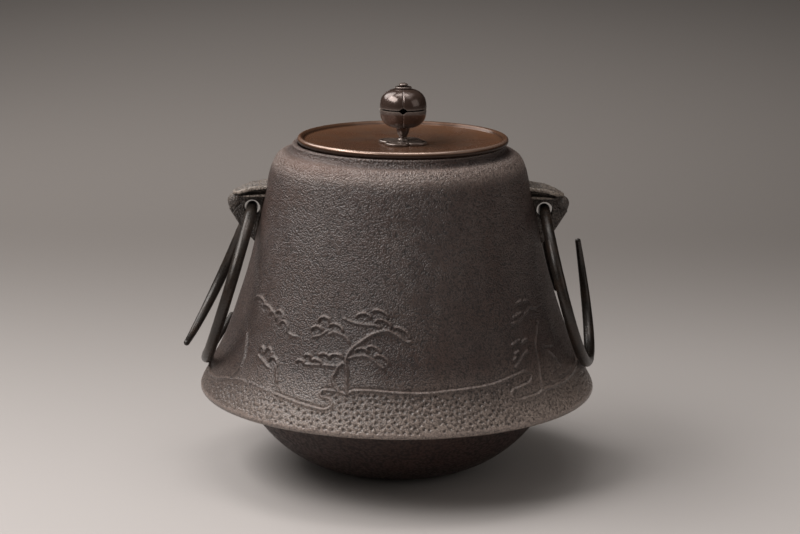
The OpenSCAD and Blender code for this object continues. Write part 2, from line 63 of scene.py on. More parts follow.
LUG_X, LUG_Z = 88.1756, 159.2

# Drawing of the lid and knob: heights above the table, and radii round the pin
LID_Z, LAND_Z, TAIL_Z = 199.1, 198.6, 194.6
PIN_R, BORE_R = 1.5, 1.52

# Pine-shore relief: strokes as (bearing, height)
CENTRE_TRUNKS = [
    [(-14.9, 71.6), (-15.4, 76.8), (-15.9, 83.9), (-16.5, 88.7), (-16, 92.6), (-14.4, 96.3),
     (-11.8, 100), (-9.4, 103.1), (-7, 105), (-3.6, 106.2), (-1.5, 105), (0.7, 103.1), (2.5, 100.7),
     (4.3, 100.2)],
    [(-17.6, 87.3), (-18.8, 85.4), (-19.4, 82.5), (-20.1, 79.4), (-19.1, 75.7), (-17.4, 72.3)],
]
CENTRE_BRANCHES = [
    [(-18.8, 111.8), (-15.2, 109.8), (-11.9, 109.3), (-7.8, 109), (-5.9, 108.1)],
    [(-29.2, 99.8), (-26.5, 101.3), (-24.7, 103.7)],
    [(-23.6, 102.3), (-21.7, 103.7), (-19.3, 103), (-17.2, 101.3), (-16.1, 99)],
    [(-30.2, 84.7), (-24.1, 85.5), (-19.7, 85.8)],
    [(-15.8, 90.2), (-14.1, 91.5), (-11.1, 92.3), (-9, 91.7), (-7.2, 89.7), (-5.6, 87.4), (-4.4, 86.2)],
]
CENTRE_NEEDLES = [
    [(-14.2, 113.4), (-11.9, 115.3), (-9.3, 113)], [(-8.4, 116.9), (-6.5, 117.3), (-3.4, 113.6)],
    [(-7.2, 111.5), (-5.3, 112.2), (-2.3, 107.9)], [(-0.6, 108), (1.3, 107.5), (4, 102.6)],
    [(-28.1, 108.9), (-26, 111.5), (-23.8, 109.1)], [(-30.2, 104), (-28.3, 105.8), (-26.5, 104.2)],
    [(-23.6, 106.9), (-22.2, 108.3), (-18.7, 104.6)], [(-31.1, 89.3), (-30, 90.1), (-28.9, 88.4)],
    [(-33.7, 85.7), (-32.6, 86.5), (-31, 84.7)], [(-28.3, 87.5), (-26.7, 88.1), (-24.8, 85.5)],
    [(-25.7, 91), (-24.1, 91.7), (-22.3, 89.7)], [(-21.8, 90.9), (-20.3, 92.1), (-17.8, 90.7)],
    [(-13.5, 95), (-11.6, 96.3), (-9.7, 94.6)], [(-9.8, 96.6), (-8.6, 97.6), (-5.5, 94.6)],
    [(-6.8, 92.4), (-5.3, 92.8), (-2.9, 88.1)],
]
LEFT_TRUNKS = [[(-40.9, 80), (-40, 76.3), (-39.2, 73.2)]]
LEFT_NEEDLES = [
    [(-62.3, 113), (-59.4, 114.2), (-55.1, 110.9)], [(-55.6, 110.5), (-52.8, 111.1), (-49.9, 108)],
    [(-51, 107.6), (-49.5, 108.9), (-47, 105.1)], [(-47.6, 106.6), (-46.4, 110.3), (-43.4, 107)],
    [(-44.3, 103.6), (-42.9, 105.4), (-40, 100)], [(-50.9, 86), (-50.6, 88.2), (-48.6, 86.2)],
    [(-47.9, 87.1), (-47, 89.1), (-44.7, 85.5)], [(-45, 83.1), (-43.8, 85), (-40.7, 80.1)],
]
LEFT_BRANCHES = [
    [(-50.9, 83.5), (-47.6, 81.3), (-44.5, 79)], [(-40.1, 100.1), (-38, 98.9), (-36.2, 98.5)],
    [(-61.3, 91.9), (-59.5, 86.2), (-58.3, 81), (-57.8, 75.4), (-59, 71.5), (-60.9, 67.2)],
]
RIGHT_BRANCHES = [
    [(58, 102.1), (55.6, 96.6), (52.9, 90), (52.2, 84.6), (51.6, 79.2), (50.4, 74), (49.4, 68.3), (49, 63)],
    [(43.5, 104.7), (47.9, 105.7), (51.3, 108.2), (53.7, 110.3)],
    [(40.4, 81.3), (43.1, 83.9), (45.7, 87), (47.9, 88.6)],
    [(57.5, 88.5), (62.6, 86.6)], [(58.9, 85.1), (61.4, 80.7), (63.3, 75.3)],
]
RIGHT_NEEDLES = [
    [(47.9, 115.1), (50.8, 116.3)], [(52.3, 115.1), (54.3, 115.3), (56.2, 112.2)],
    [(54.1, 110.5), (56.5, 110.7), (58.7, 109.7)], [(44.9, 108), (46.9, 108.9), (49.3, 109.6)],
    [(41.4, 93.2), (43, 94.4), (45.5, 95.1)], [(45.9, 93.1), (47.4, 94.3), (49.1, 94.6)],
    [(41.8, 88.4), (43.6, 89.5)], [(40.7, 85.4), (41.9, 86.7)],
]
SHORE = [
    (-60.7, 66.5), (-53.7, 68.2), (-46.4, 68), (-41.8, 67.3), (-38.5, 66.5), (-33, 65.2), (-28.6, 64),
    (-24.6, 63.1), (-22, 62.7), (-20.5, 63), (-19.1, 64.7), (-19, 66.5), (-20.2, 68.4), (-22.1, 68.8),
    (-23.1, 69.9), (-23.1, 71.5), (-22.2, 72.7), (-20.3, 72.8), (-17.4, 72.4), (-14.9, 71.8), (-13, 73.6),
    (-8.5, 74.1), (-4.7, 73.8), (0.7, 73.2), (8.2, 72.8), (17.4, 73.5), (29.5, 74.4), (37.3, 76.5),
    (41.7, 77.7), (44.3, 78.3), (46, 76.6), (46, 73.9), (44.5, 71.9), (41.5, 71), (37.6, 69.9), (36.5, 68.4),
    (36.8, 65.9), (38.7, 64.3), (41.5, 64.5), (46.3, 64.8), (50.2, 66.4), (54.9, 66.2), (60, 66.4), (64, 66.9),
    (80, 70), (95, 74), (104, 77), (107, 75.5), (106, 72.5), (101, 70.5), (98.5, 68), (100, 65.5), (104, 64.5),
    (112, 66), (125, 69.5), (140, 72.5), (158, 74), (175, 72), (190, 69), (205, 66.5), (220, 64.5), (228, 63.2),
    (232, 64.6), (232.5, 67), (230, 69), (227.5, 70), (227.5, 72), (231, 73), (240, 71), (255, 67), (270, 63),
    (285, 61.5), (299.3, 66.5),
]


# Lines and skins

def bezier(points, steps):
    a, b, c, d = (np.array(p, float) for p in points)
    t = np.linspace(0, 1, steps + 1)[:, None]
    return (1 - t) ** 3 * a + 3 * t * (1 - t) ** 2 * b + 3 * t * t * (1 - t) * c + t ** 3 * d


def outward(line):
    """The way out of the wall at each point of a line drawn from the mouth down."""
    way = np.gradient(line, axis=0)
    way /= np.linalg.norm(way, axis=1)[:, None]
    return np.stack([-way[:, 1], way[:, 0]], 1)


def inside_of(points, steps):
    """The inner face of the wall along a curve drawn from the mouth down."""
    line = bezier(points, steps)
    return line - WALL_T * outward(line)


def far_along(line):
    return np.concatenate([[0], np.cumsum(np.linalg.norm(np.diff(line, axis=0), axis=1))])


def evenly(line, gap):
    """The same line with points a given gap apart."""
    line = np.array(line, float)
    s = far_along(line)
    steps = max(1, int(round(s[-1] / gap)))
    t = np.linspace(0, s[-1], steps + 1)
    return np.stack([np.interp(t, s, line[:, k]) for k in range(line.shape[1])], 1)


def run(*stretches):
    """One line from several, each given as points and the gap between its points."""
    parts = [evenly(line, gap) for line, gap in stretches]
    keep = [parts[0]] + [p[1:] if np.allclose(p[0], q[-1], atol=1e-3) else p for q, p in zip(parts, parts[1:])]
    return np.concatenate(keep)


def eased(corners, size, gap=0.3):
    """A line with its inner corners rounded."""
    corners = [np.array(c, float) for c in corners]
    points = [corners[0]]
    for before, here, after in zip(corners, corners[1:], corners[2:]):
        back, on = before - here, after - here
        back_long, on_long = np.linalg.norm(back), np.linalg.norm(on)
        cut = min(size, back_long / 2, on_long / 2)
        a, b = here + back / back_long * cut, here + on / on_long * cut
        points += list(bezier([a, a + 0.55 * (here - a), b + 0.55 * (here - b), b], max(2, round(cut / gap))))
    return np.array(points + [corners[-1]])


def smooth_stroke(points, parts=6):
    """A drawn stroke as a smooth line through its points."""
    p = np.array(points, float)
    if len(p) < 3:
        return evenly(p, 0.6)
    p = np.concatenate([[2 * p[0] - p[1]], p, [2 * p[-1] - p[-2]]])
    t = np.arange(parts)[:, None] / parts
    bits = [0.5 * (2 * b + (c - a) * t + (2 * a - 5 * b + 4 * c - d) * t ** 2 + (3 * b - a - 3 * c + d) * t ** 3)
            for a, b, c, d in zip(p, p[1:], p[2:], p[3:])]
    return np.concatenate(bits + [p[-2:-1]])


def dome(points):
    """A tuft drawn with three points as a round arch through them."""
    a, b, c = (np.array(p, float) for p in points)
    chord = c - a
    share = float(np.clip((b - a) @ chord / (chord @ chord), 0.25, 0.75))
    lift = (b - a - share * chord) / math.sqrt(4 * share * (1 - share))
    t = (1 - np.cos(np.linspace(0, math.pi, 13)))[:, None] / 2
    return a + chord * t + lift * np.sqrt(4 * t * (1 - t))


def ramp(value, start, length):
    """From 0 at the start to 1 a length further on; a negative length runs downward."""
    return np.clip((value - start) / length, 0, 1)


def hump(value, middle, half):
    return np.exp(-((value - middle) / half) ** 2)


def skin_quads(rows, columns, loop):
    i = np.arange(rows if loop else rows - 1)[:, None]
    j = np.arange(columns)[None, :]
    below, beside = (i + 1) % rows, (j + 1) % columns
    corners = [i * columns + j, i * columns + beside, below * columns + beside, below * columns + j]
    return np.stack(corners, -1).reshape(-1, 4)


def set_marks(mesh, marks):
    """Writes marks on the points of a mesh, for its finish to read."""
    for label, values in marks.items():
        data = mesh.attributes.new(label, "FLOAT", "POINT").data
        data.foreach_set("value", values.astype(np.float32).ravel())


def write_clean(bm, mesh):
    """Joins the points that lie together, turns the faces outward and writes the mesh."""
    bmesh.ops.remove_doubles(bm, verts=bm.verts, dist=2e-6)
    bmesh.ops.recalc_face_normals(bm, faces=bm.faces)
    bm.to_mesh(mesh)
    bm.free()


def shade(mesh, sharp):
    mesh.polygons.foreach_set("use_smooth", np.ones(len(mesh.polygons), bool))
    mesh.set_sharp_from_angle(angle=math.radians(sharp))


def skin_mesh(rows, loop, marks, sharp):
    """A skin of rows of points, each row a ring; rows may close on themselves or end at poles."""
    mesh = bpy.data.meshes.new("skin")
    quads = skin_quads(*rows.shape[:2], loop)
    mesh.from_pydata((rows * MM).reshape(-1, 3).tolist(), [], quads.tolist())
    set_marks(mesh, marks)
    bm = bmesh.new()
    bm.from_mesh(mesh)
    write_clean(bm, mesh)
    shade(mesh, sharp)
    return mesh


def swept(line, a, axis=0.0):
    """An outline swept round an upright axis: a row of points for each of its points."""
    r, z = line[:, :1], line[:, 1:]
    return np.stack([axis + r * np.sin(a), -r * np.cos(a), z + 0 * a], -1)


def turned(line, columns, sharp, axis=LID_SHIFT, loop=True, **marks):
    """A piece turned on the lathe from its outline."""
    a = np.linspace(0, 2 * math.pi, columns, endpoint=False)
    wide = {k: np.repeat(v, columns) if v.ndim == 1 else v for k, v in marks.items()}
    return skin_mesh(swept(line, a, axis), loop, wide, sharp)


def placed(name, data):
    obj = bpy.data.objects.new(name, data)
    scene.collection.objects.link(obj)
    return obj


def piece(name, mesh, finish, body, slot, *stands_for):
    """Hangs a finished mesh on its body, in place of the solids that it stands for."""
    mesh.name = name
    obj = placed(name, mesh)
    if finish is not None:
        mesh.materials.clear()
        mesh.materials.append(finish)
    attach(obj, body)
    if stands_for:
        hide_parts(*stands_for)


def made_from(obj):
    """The mesh that an object's modifiers give, with the object and its first mesh taken away."""
    shown, first = obj.evaluated_get(bpy.context.evaluated_depsgraph_get()), obj.data
    mesh = bpy.data.meshes.new_from_object(shown)
    bpy.data.objects.remove(obj)
    bpy.data.meshes.remove(first)
    return mesh


# Finishes: shared effects first

def socket(tree, way, label, kind):
    return tree.interface.new_socket(label.replace("_", " "), in_out=way, socket_type="NodeSocket" + kind)


def group(name, outs, **ins):
    """A shared effect: an empty tree with its inputs at their usual values."""
    tree = bpy.data.node_groups.new(name, "ShaderNodeTree")
    for label, value in ins.items():
        if isinstance(value, tuple):
            socket(tree, "INPUT", label, "Color").default_value = (*value, 1)
        else:
            socket(tree, "INPUT", label, "Float").default_value = value
    for label in outs:
        socket(tree, "OUTPUT", label, "Color" if label == "Color" else "Float")
    taken = tree.nodes.new("NodeGroupInput").outputs
    return tree, [taken[k] for k in range(len(ins))], tree.nodes.new("NodeGroupOutput")


def fit(tree, node, **wires):
    """Puts a value or a wire on each named or numbered input of a node."""
    for key, value in wires.items():
        taker = node.inputs[int(key[1:])] if key[0] == "_" else node.inputs[key.replace("_", " ")]
        if isinstance(value, bpy.types.NodeSocket):
            tree.links.new(value, taker)
        else:
            taker.default_value = (*value, 1) if taker.type == "RGBA" else value
    return node


def put(tree, kind, sets=None, **wires):
    """A new node with its settings and inputs."""
    node = tree.nodes.new(kind)
    for key, value in (sets or {}).items():
        setattr(node, key, value)
    return fit(tree, node, **wires)


def use(tree, effect, **values):
    return put(tree, "ShaderNodeGroup", {"node_tree": effect}, **values)


def place_on(tree):
    return put(tree, "ShaderNodeTexCoord").outputs["Object"]


def own_mark(tree, name):
    return put(tree, "ShaderNodeAttribute", {"attribute_name": name}).outputs["Fac"]


def sum_of(tree, operation, a, b=0.0, c=0.0):
    return put(tree, "ShaderNodeMath", {"operation": operation}, _0=a, _1=b, _2=c).outputs[0]


def times(tree, a, b):
    return sum_of(tree, "MULTIPLY", a, b)


def less(tree, a, b):
    return sum_of(tree, "SUBTRACT", a, b)


def plus(tree, extra, share, base):
    """The base with a share of the extra added to it."""
    return sum_of(tree, "MULTIPLY_ADD", extra, share, base)


def blend(tree, share, a, b, way="MIX"):
    node = put(tree, "ShaderNodeMix", {"data_type": "RGBA", "blend_type": way}, _0=share, _6=a, _7=b)
    return node.outputs[2]


def spread(tree, value, low, high, to_low=0.0, to_high=1.0):
    return put(tree, "ShaderNodeMapRange", {"interpolation_type": "SMOOTHSTEP"}, _0=value, _1=low, _2=high,
               _3=to_low, _4=to_high).outputs[0]


def noise(tree, where, size, detail, rough, twist=0.0):
    return put(tree, "ShaderNodeTexNoise", Vector=where, Scale=size, Detail=detail, Roughness=rough,
               Distortion=twist).outputs[0]


def squeezed(tree, where, upward):
    return put(tree, "ShaderNodeMapping", Vector=where, Scale=(1.0, 1.0, upward)).outputs[0]


def cast_grain():
    """Sand-cast skin: rounded grains, fine grit, small blow holes and wrinkles."""
    tree, (scale, grit, holes, wrinkles), outs = group(
        "Cast grain", ("Height", "Tone"), Grain_scale=420.0, Grit=0.4, Blow_holes=0.3, Wrinkles=0.0)
    where = place_on(tree)
    lumps = noise(tree, where, scale, 2.5, 0.6)
    grains = put(tree, "ShaderNodeTexVoronoi", {"feature": "SMOOTH_F1"}, Vector=where,
                 Scale=times(tree, scale, 1.7), Smoothness=0.5).outputs["Distance"]
    fine = noise(tree, where, times(tree, scale, 4.2), 2.0, 0.6)
    spots = noise(tree, where, times(tree, scale, 0.62), 1.0, 0.5)
    folds = noise(tree, squeezed(tree, where, 1.9), times(tree, scale, 0.3), 2.0, 0.5, 0.6)
    height = less(tree, times(tree, lumps, 0.8), times(tree, grains, 0.8))
    height = plus(tree, fine, grit, height)
    height = less(tree, height, times(tree, spread(tree, spots, 0.66, 0.78), holes))
    height = plus(tree, sum_of(tree, "ABSOLUTE", less(tree, folds, 0.5)), wrinkles, height)
    fit(tree, outs, Height=height, Tone=spread(tree, height, -0.1, 0.42))
    return tree


def weathering():
    """Patches of stain over a ground colour, with some that run down."""
    tree, (ground, stain, bloom, scale, stain_share, bloom_share), outs = group(
        "Weathering", ("Color", "Mask"), Ground=(0.1, 0.08, 0.07), Stain=(0.12, 0.06, 0.03),
        Bloom=(0.16, 0.14, 0.12), Patch_scale=22.0, Stain_share=0.5, Bloom_share=0.4)
    where = place_on(tree)
    patches = noise(tree, where, scale, 5.0, 0.62, 0.6)
    runs = noise(tree, squeezed(tree, where, 0.3), times(tree, scale, 2.3), 4.0, 0.6)
    flecks = noise(tree, where, times(tree, scale, 11.0), 3.0, 0.65)
    rust = times(tree, spread(tree, plus(tree, flecks, 0.35, patches), 0.56, 0.86), stain_share)
    pale = times(tree, spread(tree, plus(tree, flecks, 0.3, runs), 0.5, 0.82), bloom_share)
    fit(tree, outs, Color=blend(tree, rust, blend(tree, pale, ground, bloom), stain), Mask=rust)
    return tree


def rubbed_edges():
    """Wear from hands and cloths, and painted highlight and sheen: the piece's own mark, broken up by grain."""
    tree, (share, scale), outs = group("Wear and sheen", ("Mask",), Share=0.8, Break_scale=260.0)
    broken = spread(tree, noise(tree, place_on(tree), scale, 4.0, 0.65), 0.28, 0.62)
    fit(tree, outs, Mask=times(tree, times(tree, own_mark(tree, "rubbed"), broken), share))
    return tree


GRAIN, WEATHER, WEAR_AND_SHEEN = cast_grain(), weathering(), rubbed_edges()


PIT_SHADE, GRAIN_SHADE, NECK_RUST = (0.013, 0.01, 0.009), (0.26, 0.24, 0.24), (0.165, 0.098, 0.075)
MOTTLE_SHADE, LIP_SHADE, LATHE_LINE = (0.02, 0.012, 0.01), (0.02, 0.012, 0.009), 0.02 * MM


def finish(name):
    material = bpy.data.materials.new(name)
    material.use_nodes = True
    tree = material.node_tree
    return material, tree, tree.nodes["Principled BSDF"]


def bump(tree, height, strength, depth, **under):
    return put(tree, "ShaderNodeBump", Strength=strength, Distance=depth, Height=height, **under).outputs[0]


def cast_iron(name, ground, stain, bloom, rub, roughs, grain_scale, depth, shares, specular, sand=None):
    """Cast iron with its sand skin: matt and brown-grey. The pieces' marks paint shade into pits and hollows and a
    pale mix of wear and painted sheen on edges and tops; the kettle's skirt grows lighter downward, partly dust and
    partly painted sheen.
    """
    material, tree, shader = finish(name)
    grain = use(tree, GRAIN, Grain_scale=grain_scale, Grit=0.35, Blow_holes=0.35)
    age = use(tree, WEATHER, Ground=ground, Stain=stain, Bloom=bloom, Stain_share=shares[0], Bloom_share=shares[1])
    wear_and_sheen_mask = use(tree, WEAR_AND_SHEEN, Share=0.75, Break_scale=700.0).outputs["Mask"]
    colour, tone, strength = age.outputs["Color"], grain.outputs["Tone"], 0.75
    rough = spread(tree, tone, 0.0, 1.0, roughs[1], roughs[0])
    rough = plus(tree, age.outputs["Mask"], 0.12, rough)
    rough = plus(tree, wear_and_sheen_mask, -0.14, rough)
    if sand:
        up = put(tree, "ShaderNodeSeparateXYZ", Vector=place_on(tree)).outputs["Z"]
        fit(tree, grain, Wrinkles=spread(tree, up, 0.1, 0.18, 0.1, 1.7))
        uneven = spread(tree, noise(tree, place_on(tree), 110.0, 2.0, 0.5), 0.34, 0.66, 0.8, 1.08)
        strength = times(tree, spread(tree, up, 0.07, 0.15, 0.3, 0.5), uneven)
        dust_and_sheen = own_mark(tree, "sand")
        rough = plus(tree, dust_and_sheen, -0.1, rough)
        # Lighter skirt colour: partly dust, partly painted sheen on the up-facing skirt.
        colour = blend(tree, times(tree, dust_and_sheen, 0.85), colour, sand)
    colour = blend(tree, tone, blend(tree, 1.0, colour, GRAIN_SHADE, "MULTIPLY"), colour)
    # Pale wear colour, also used as painted highlight on the relief ridges, the shoulder and the lugs' tops.
    colour = blend(tree, wear_and_sheen_mask, colour, rub)
    if sand:
        colour = blend(tree, times(tree, own_mark(tree, "rust"), 0.7), colour, NECK_RUST)
    # Painted shade: darker in the pits, under the relief ridges and in the neck cove.
    colour = blend(tree, times(tree, own_mark(tree, "hollow"), 0.62), colour, PIT_SHADE)
    fit(tree, shader, Base_Color=colour, Roughness=rough, Specular_IOR_Level=specular,
        Normal=bump(tree, grain.outputs["Height"], strength, depth))
    return material


def black_iron(name, grain, age, roughs, strength, depth, **metal):
    """Blackened wire or iron lacquer: only its grain and its age show."""
    material, tree, shader = finish(name)
    grain = use(tree, GRAIN, **grain)
    fit(tree, shader, Base_Color=use(tree, WEATHER, **age).outputs["Color"],
        Roughness=spread(tree, grain.outputs["Tone"], 0.0, 1.0, *roughs),
        Normal=bump(tree, grain.outputs["Height"], strength, depth), **metal)
    return material


def patinated(name, ground, stain, bloom, rub, rough, metal, worn_metal, ring_scale, patch, shares, shine, wax):
    """Copper alloy, turned, then browned; the browning wears through on the edges, and the same pale mark paints
    highlight on the lid lip's front and the seat's borders, with painted shade on the lid lip below it.
    """
    material, tree, shader = finish(name)
    where = place_on(tree)
    centred = put(tree, "ShaderNodeMapping", Vector=where, Location=(-LID_SHIFT * MM, 0.0, 0.0)).outputs[0]
    rings = put(tree, "ShaderNodeTexWave", {"wave_type": "RINGS", "rings_direction": "Z"}, Vector=centred,
                Scale=ring_scale, Distortion=2.5, Detail=3.0, Detail_Scale=3.0).outputs["Fac"]
    age = use(tree, WEATHER, Ground=ground, Stain=stain, Bloom=bloom, Patch_scale=patch, Stain_share=shares[0],
              Bloom_share=shares[1])
    wear_and_sheen_mask = use(tree, WEAR_AND_SHEEN, Share=0.9, Break_scale=2600.0).outputs["Mask"]
    mottle = noise(tree, where, 900.0, 4.0, 0.6)
    colour = blend(tree, spread(tree, mottle, 0.3, 0.75, 0.0, 0.25), age.outputs["Color"], MOTTLE_SHADE)
    colour = blend(tree, times(tree, own_mark(tree, "warm"), 0.5), colour, bloom)
    colour = blend(tree, spread(tree, rings, 0.2, 1.0, 0.0, 0.3), colour, stain)
    # Painted shade on the lid lip's lower half and on its inner face.
    colour = blend(tree, times(tree, own_mark(tree, "hollow"), 0.88), colour, LIP_SHADE)
    # Pale wear colour, which also paints the highlight on the lid lip's front and the seat's borders.
    colour = blend(tree, wear_and_sheen_mask, colour, rub)
    dull = plus(tree, age.outputs["Mask"], 0.14, spread(tree, mottle, 0.25, 0.75, rough - 0.06, rough + 0.1))
    lines = bump(tree, rings, 0.4, LATHE_LINE)
    fit(tree, shader, Base_Color=colour, Roughness=less(tree, dull, times(tree, wear_and_sheen_mask, 0.1)),
        Normal=bump(tree, mottle, 0.1, LATHE_LINE, Normal=lines), Specular_IOR_Level=shine, Coat_Weight=wax,
        Metallic=spread(tree, wear_and_sheen_mask, 0.0, 1.0, metal, worn_metal))
    return material


# The kettle's sand colour is partly dust and partly painted sheen, and its pale wear colour also paints highlight; so
# does the lugs' wear colour.
KETTLE_IRON = cast_iron(
    "Kettle cast iron", ground=(0.056, 0.0362, 0.0316), stain=(0.07, 0.035, 0.0235),
    bloom=(0.098, 0.073, 0.064), rub=(0.345, 0.272, 0.24), sand=(0.35, 0.285, 0.246),
    roughs=(0.29, 0.5), grain_scale=640.0, depth=2.2 * MM, shares=(0.45, 0.45), specular=0.64)
LUG_IRON = cast_iron(
    "Lug cast iron", ground=(0.045, 0.034, 0.029), stain=(0.07, 0.042, 0.028), bloom=(0.22, 0.18, 0.148),
    rub=(0.38, 0.315, 0.26), roughs=(0.3, 0.48), grain_scale=560.0, depth=1.1 * MM, shares=(0.4, 0.5), specular=0.6)
BOWL_IRON = cast_iron(
    "Bowl sooty iron", ground=(0.043, 0.022, 0.018), stain=(0.055, 0.022, 0.015),
    bloom=(0.055, 0.036, 0.031), rub=(0.06, 0.045, 0.04), roughs=(0.45, 0.6), grain_scale=330.0,
    depth=0.4 * MM, shares=(0.5, 0.35), specular=0.45)
SOUND_IRON = cast_iron(
    "Sound plate iron", ground=(0.05, 0.036, 0.03), stain=(0.11, 0.045, 0.02), bloom=(0.08, 0.065, 0.055),
    rub=(0.12, 0.1, 0.09), roughs=(0.55, 0.75), grain_scale=500.0, depth=0.4 * MM, shares=(0.7, 0.3), specular=0.4)
RING_IRON = black_iron(
    "Forged black iron", dict(Grain_scale=700.0, Grit=0.3, Blow_holes=0.2),
    dict(Ground=(0.02, 0.0155, 0.0125), Stain=(0.045, 0.026, 0.016), Bloom=(0.036, 0.03, 0.026),
         Patch_scale=60.0, Stain_share=0.6, Bloom_share=0.5),
    roughs=(0.42, 0.27), strength=0.35, depth=0.14 * MM, Metallic=0.3, Specular_IOR_Level=0.6)
LACQUER = black_iron(
    "Black iron lacquer", dict(Grain_scale=240.0, Grit=0.15, Blow_holes=0.1),
    dict(Ground=(0.016, 0.012, 0.01), Stain=(0.05, 0.03, 0.018), Bloom=(0.03, 0.026, 0.022),
         Patch_scale=40.0),
    roughs=(0.62, 0.42), strength=0.5, depth=0.3 * MM)
# The lid's pale wear colour paints the highlight on the lip's front.
LID_COPPER = patinated(
    "Lid browned copper", ground=(0.135, 0.083, 0.058), stain=(0.098, 0.043, 0.025),
    bloom=(0.19, 0.086, 0.042), rub=(0.62, 0.49, 0.42), rough=0.15, metal=0.3, worn_metal=0.9,
    ring_scale=620.0, patch=30.0, shares=(0.75, 0.45), shine=0.3, wax=0.0)
KNOB_BRONZE = patinated(
    "Knob dark bronze", ground=(0.108, 0.07, 0.056), stain=(0.085, 0.05, 0.037),
    bloom=(0.125, 0.09, 0.077), rub=(0.5, 0.42, 0.37), rough=0.17, metal=0.5, worn_metal=0.4,
    ring_scale=1500.0, patch=120.0, shares=(0.15, 0.3), shine=1.0, wax=0.35)


# Kettle body: one closed skin with the relief cast in
# Strokes of the relief: half width, height, and depth of the hollow below
TRUNK, BRANCH, NEEDLE = (1.65, 1.15, 0.0), (1.25, 0.85, 0.0), (1.15, 1.2, 0.25)
PIT_TRIES, PIT_GAP, SHORE_GAP, PITS_TOP, PITS_FOOT = 40000, 2.95, 2.3, 79.0, 52.6
RELIEF_TOP, SKIN_FACES, SKIN_SHARP = 122, 92000, 50
BESIDE = list(itertools.product((-1, 0, 1), repeat=3))


def relief_heights(bearings, far, radii, far_of):
    """Height of the relief at each row and column: ridges, with a hollow under each tuft of needles."""
    rise, dug = np.zeros((len(far), len(bearings))), np.zeros((len(far), len(bearings)))

    def ridge(points, half, top, drop=0.0, into=rise, round_top=False):
        line = dome(points) if round_top and len(points) == 3 else smooth_stroke(points)
        line = np.stack([line[:, 0], far_of(line[:, 1]) + drop], 1)
        for (a0, s0), (a1, s1) in zip(line, line[1:]):
            degree = math.radians(1) * np.interp((s0 + s1) / 2, far, radii)
            rows = np.where((far > min(s0, s1) - half) & (far < max(s0, s1) + half))[0]
            off = (bearings - (a0 + a1) / 2 + 180) % 360 - 180
            columns = np.where(np.abs(off) < abs(a1 - a0) / 2 + half / degree)[0]
            if not len(rows) or not len(columns):
                continue
            x = off[columns][None, :] * degree
            y = (far[rows] - (s0 + s1) / 2)[:, None]
            vx, vy = (a1 - a0) * degree, s1 - s0
            t = np.clip((x * vx + y * vy) / max(vx * vx + vy * vy, 1e-9), -0.5, 0.5)
            d2 = (x - t * vx) ** 2 + (y - t * vy) ** 2
            here = top * np.clip(1 - (d2 / half ** 2) ** 0.7, 0, None) ** 1.5
            patch = np.ix_(rows, columns)
            into[patch] = np.maximum(into[patch], here)

    def pine(trunks, branches, needles, mirror=None, lift=0):
        for strokes, (half, top, hollow) in ((trunks, TRUNK), (branches, BRANCH), (needles, NEEDLE)):
            for stroke in strokes:
                drawn = stroke if mirror is None else [(mirror - bearing, z + lift) for bearing, z in stroke]
                ridge(drawn, half, top, round_top=hollow > 0)
                if hollow:
                    ridge(drawn, half=1.5, top=hollow, drop=1.8, into=dug, round_top=True)

    pine(CENTRE_TRUNKS, CENTRE_BRANCHES, CENTRE_NEEDLES)
    pine(LEFT_TRUNKS, LEFT_BRANCHES, LEFT_NEEDLES)
    pine([], RIGHT_BRANCHES, RIGHT_NEEDLES)
    pine([], [], LEFT_NEEDLES, mirror=-164, lift=2)
    pine([], [], RIGHT_NEEDLES, mirror=164, lift=-2)
    pine(CENTRE_TRUNKS, CENTRE_BRANCHES, CENTRE_NEEDLES, mirror=165)
    ridge(SHORE[:5], half=1.2, top=0.25)
    ridge(SHORE[4:], half=1.2, top=0.8)
    ridge(SHORE[4:], half=1.1, top=0.45, drop=-1.4, into=dug)
    return rise - dug * (rise < 0.05)


def on_wall(r, bearing, z):
    a = math.radians(bearing)
    return r * math.sin(a), -r * math.cos(a), z


def finder(points):
    """Finds the nearest of some points."""
    tree = kdtree.KDTree(len(points))
    for k, point in enumerate(points):
        tree.insert(point, k)
    tree.balance()
    return tree


def sand_pits(line, far, far_of):
    """Pits pressed into the mould below the shore: place, half width and depth of each."""
    rng = np.random.default_rng(8)
    shore = smooth_stroke(SHORE)
    nearest = finder([on_wall(np.interp(far_of(z), far, line[:, 0]), bearing, z) for bearing, z in shore])
    pits, taken = [], {}
    low, high = float(far_of(PITS_TOP)), float(far_of(PITS_FOOT))
    for _ in range(PIT_TRIES):
        bearing, down = rng.uniform(SHORE[0][0], SHORE[-1][0]), rng.uniform(low, high)
        r, z = (float(np.interp(down, far, line[:, c])) for c in (0, 1))
        at = on_wall(r, bearing, z)
        cell = tuple(int(c // PIT_GAP) for c in at)
        near = [taken.get((cell[0] + i, cell[1] + j, cell[2] + k), ()) for i, j, k in BESIDE]
        if any(math.dist(at, other) < PIT_GAP for others in near for other in others):
            continue
        over = np.where((shore[:-1, 0] <= bearing) != (shore[1:, 0] <= bearing))[0]
        cross = [np.interp(bearing, *zip(*sorted((tuple(shore[i]), tuple(shore[i + 1]))))) for i in over]
        if sum(c > z for c in cross) % 2 == 0 or nearest.find(at)[2] < SHORE_GAP:
            continue
        taken.setdefault(cell, []).append(at)
        lighter = ramp(abs((bearing + 180) % 360 - 180), 30, 16)
        half = rng.uniform(1.25, 1.45) * (1 - 0.2 * lighter)
        pits.append((at, half, rng.uniform(0.8, 1.05) * (1 - 0.45 * lighter)))
    return pits


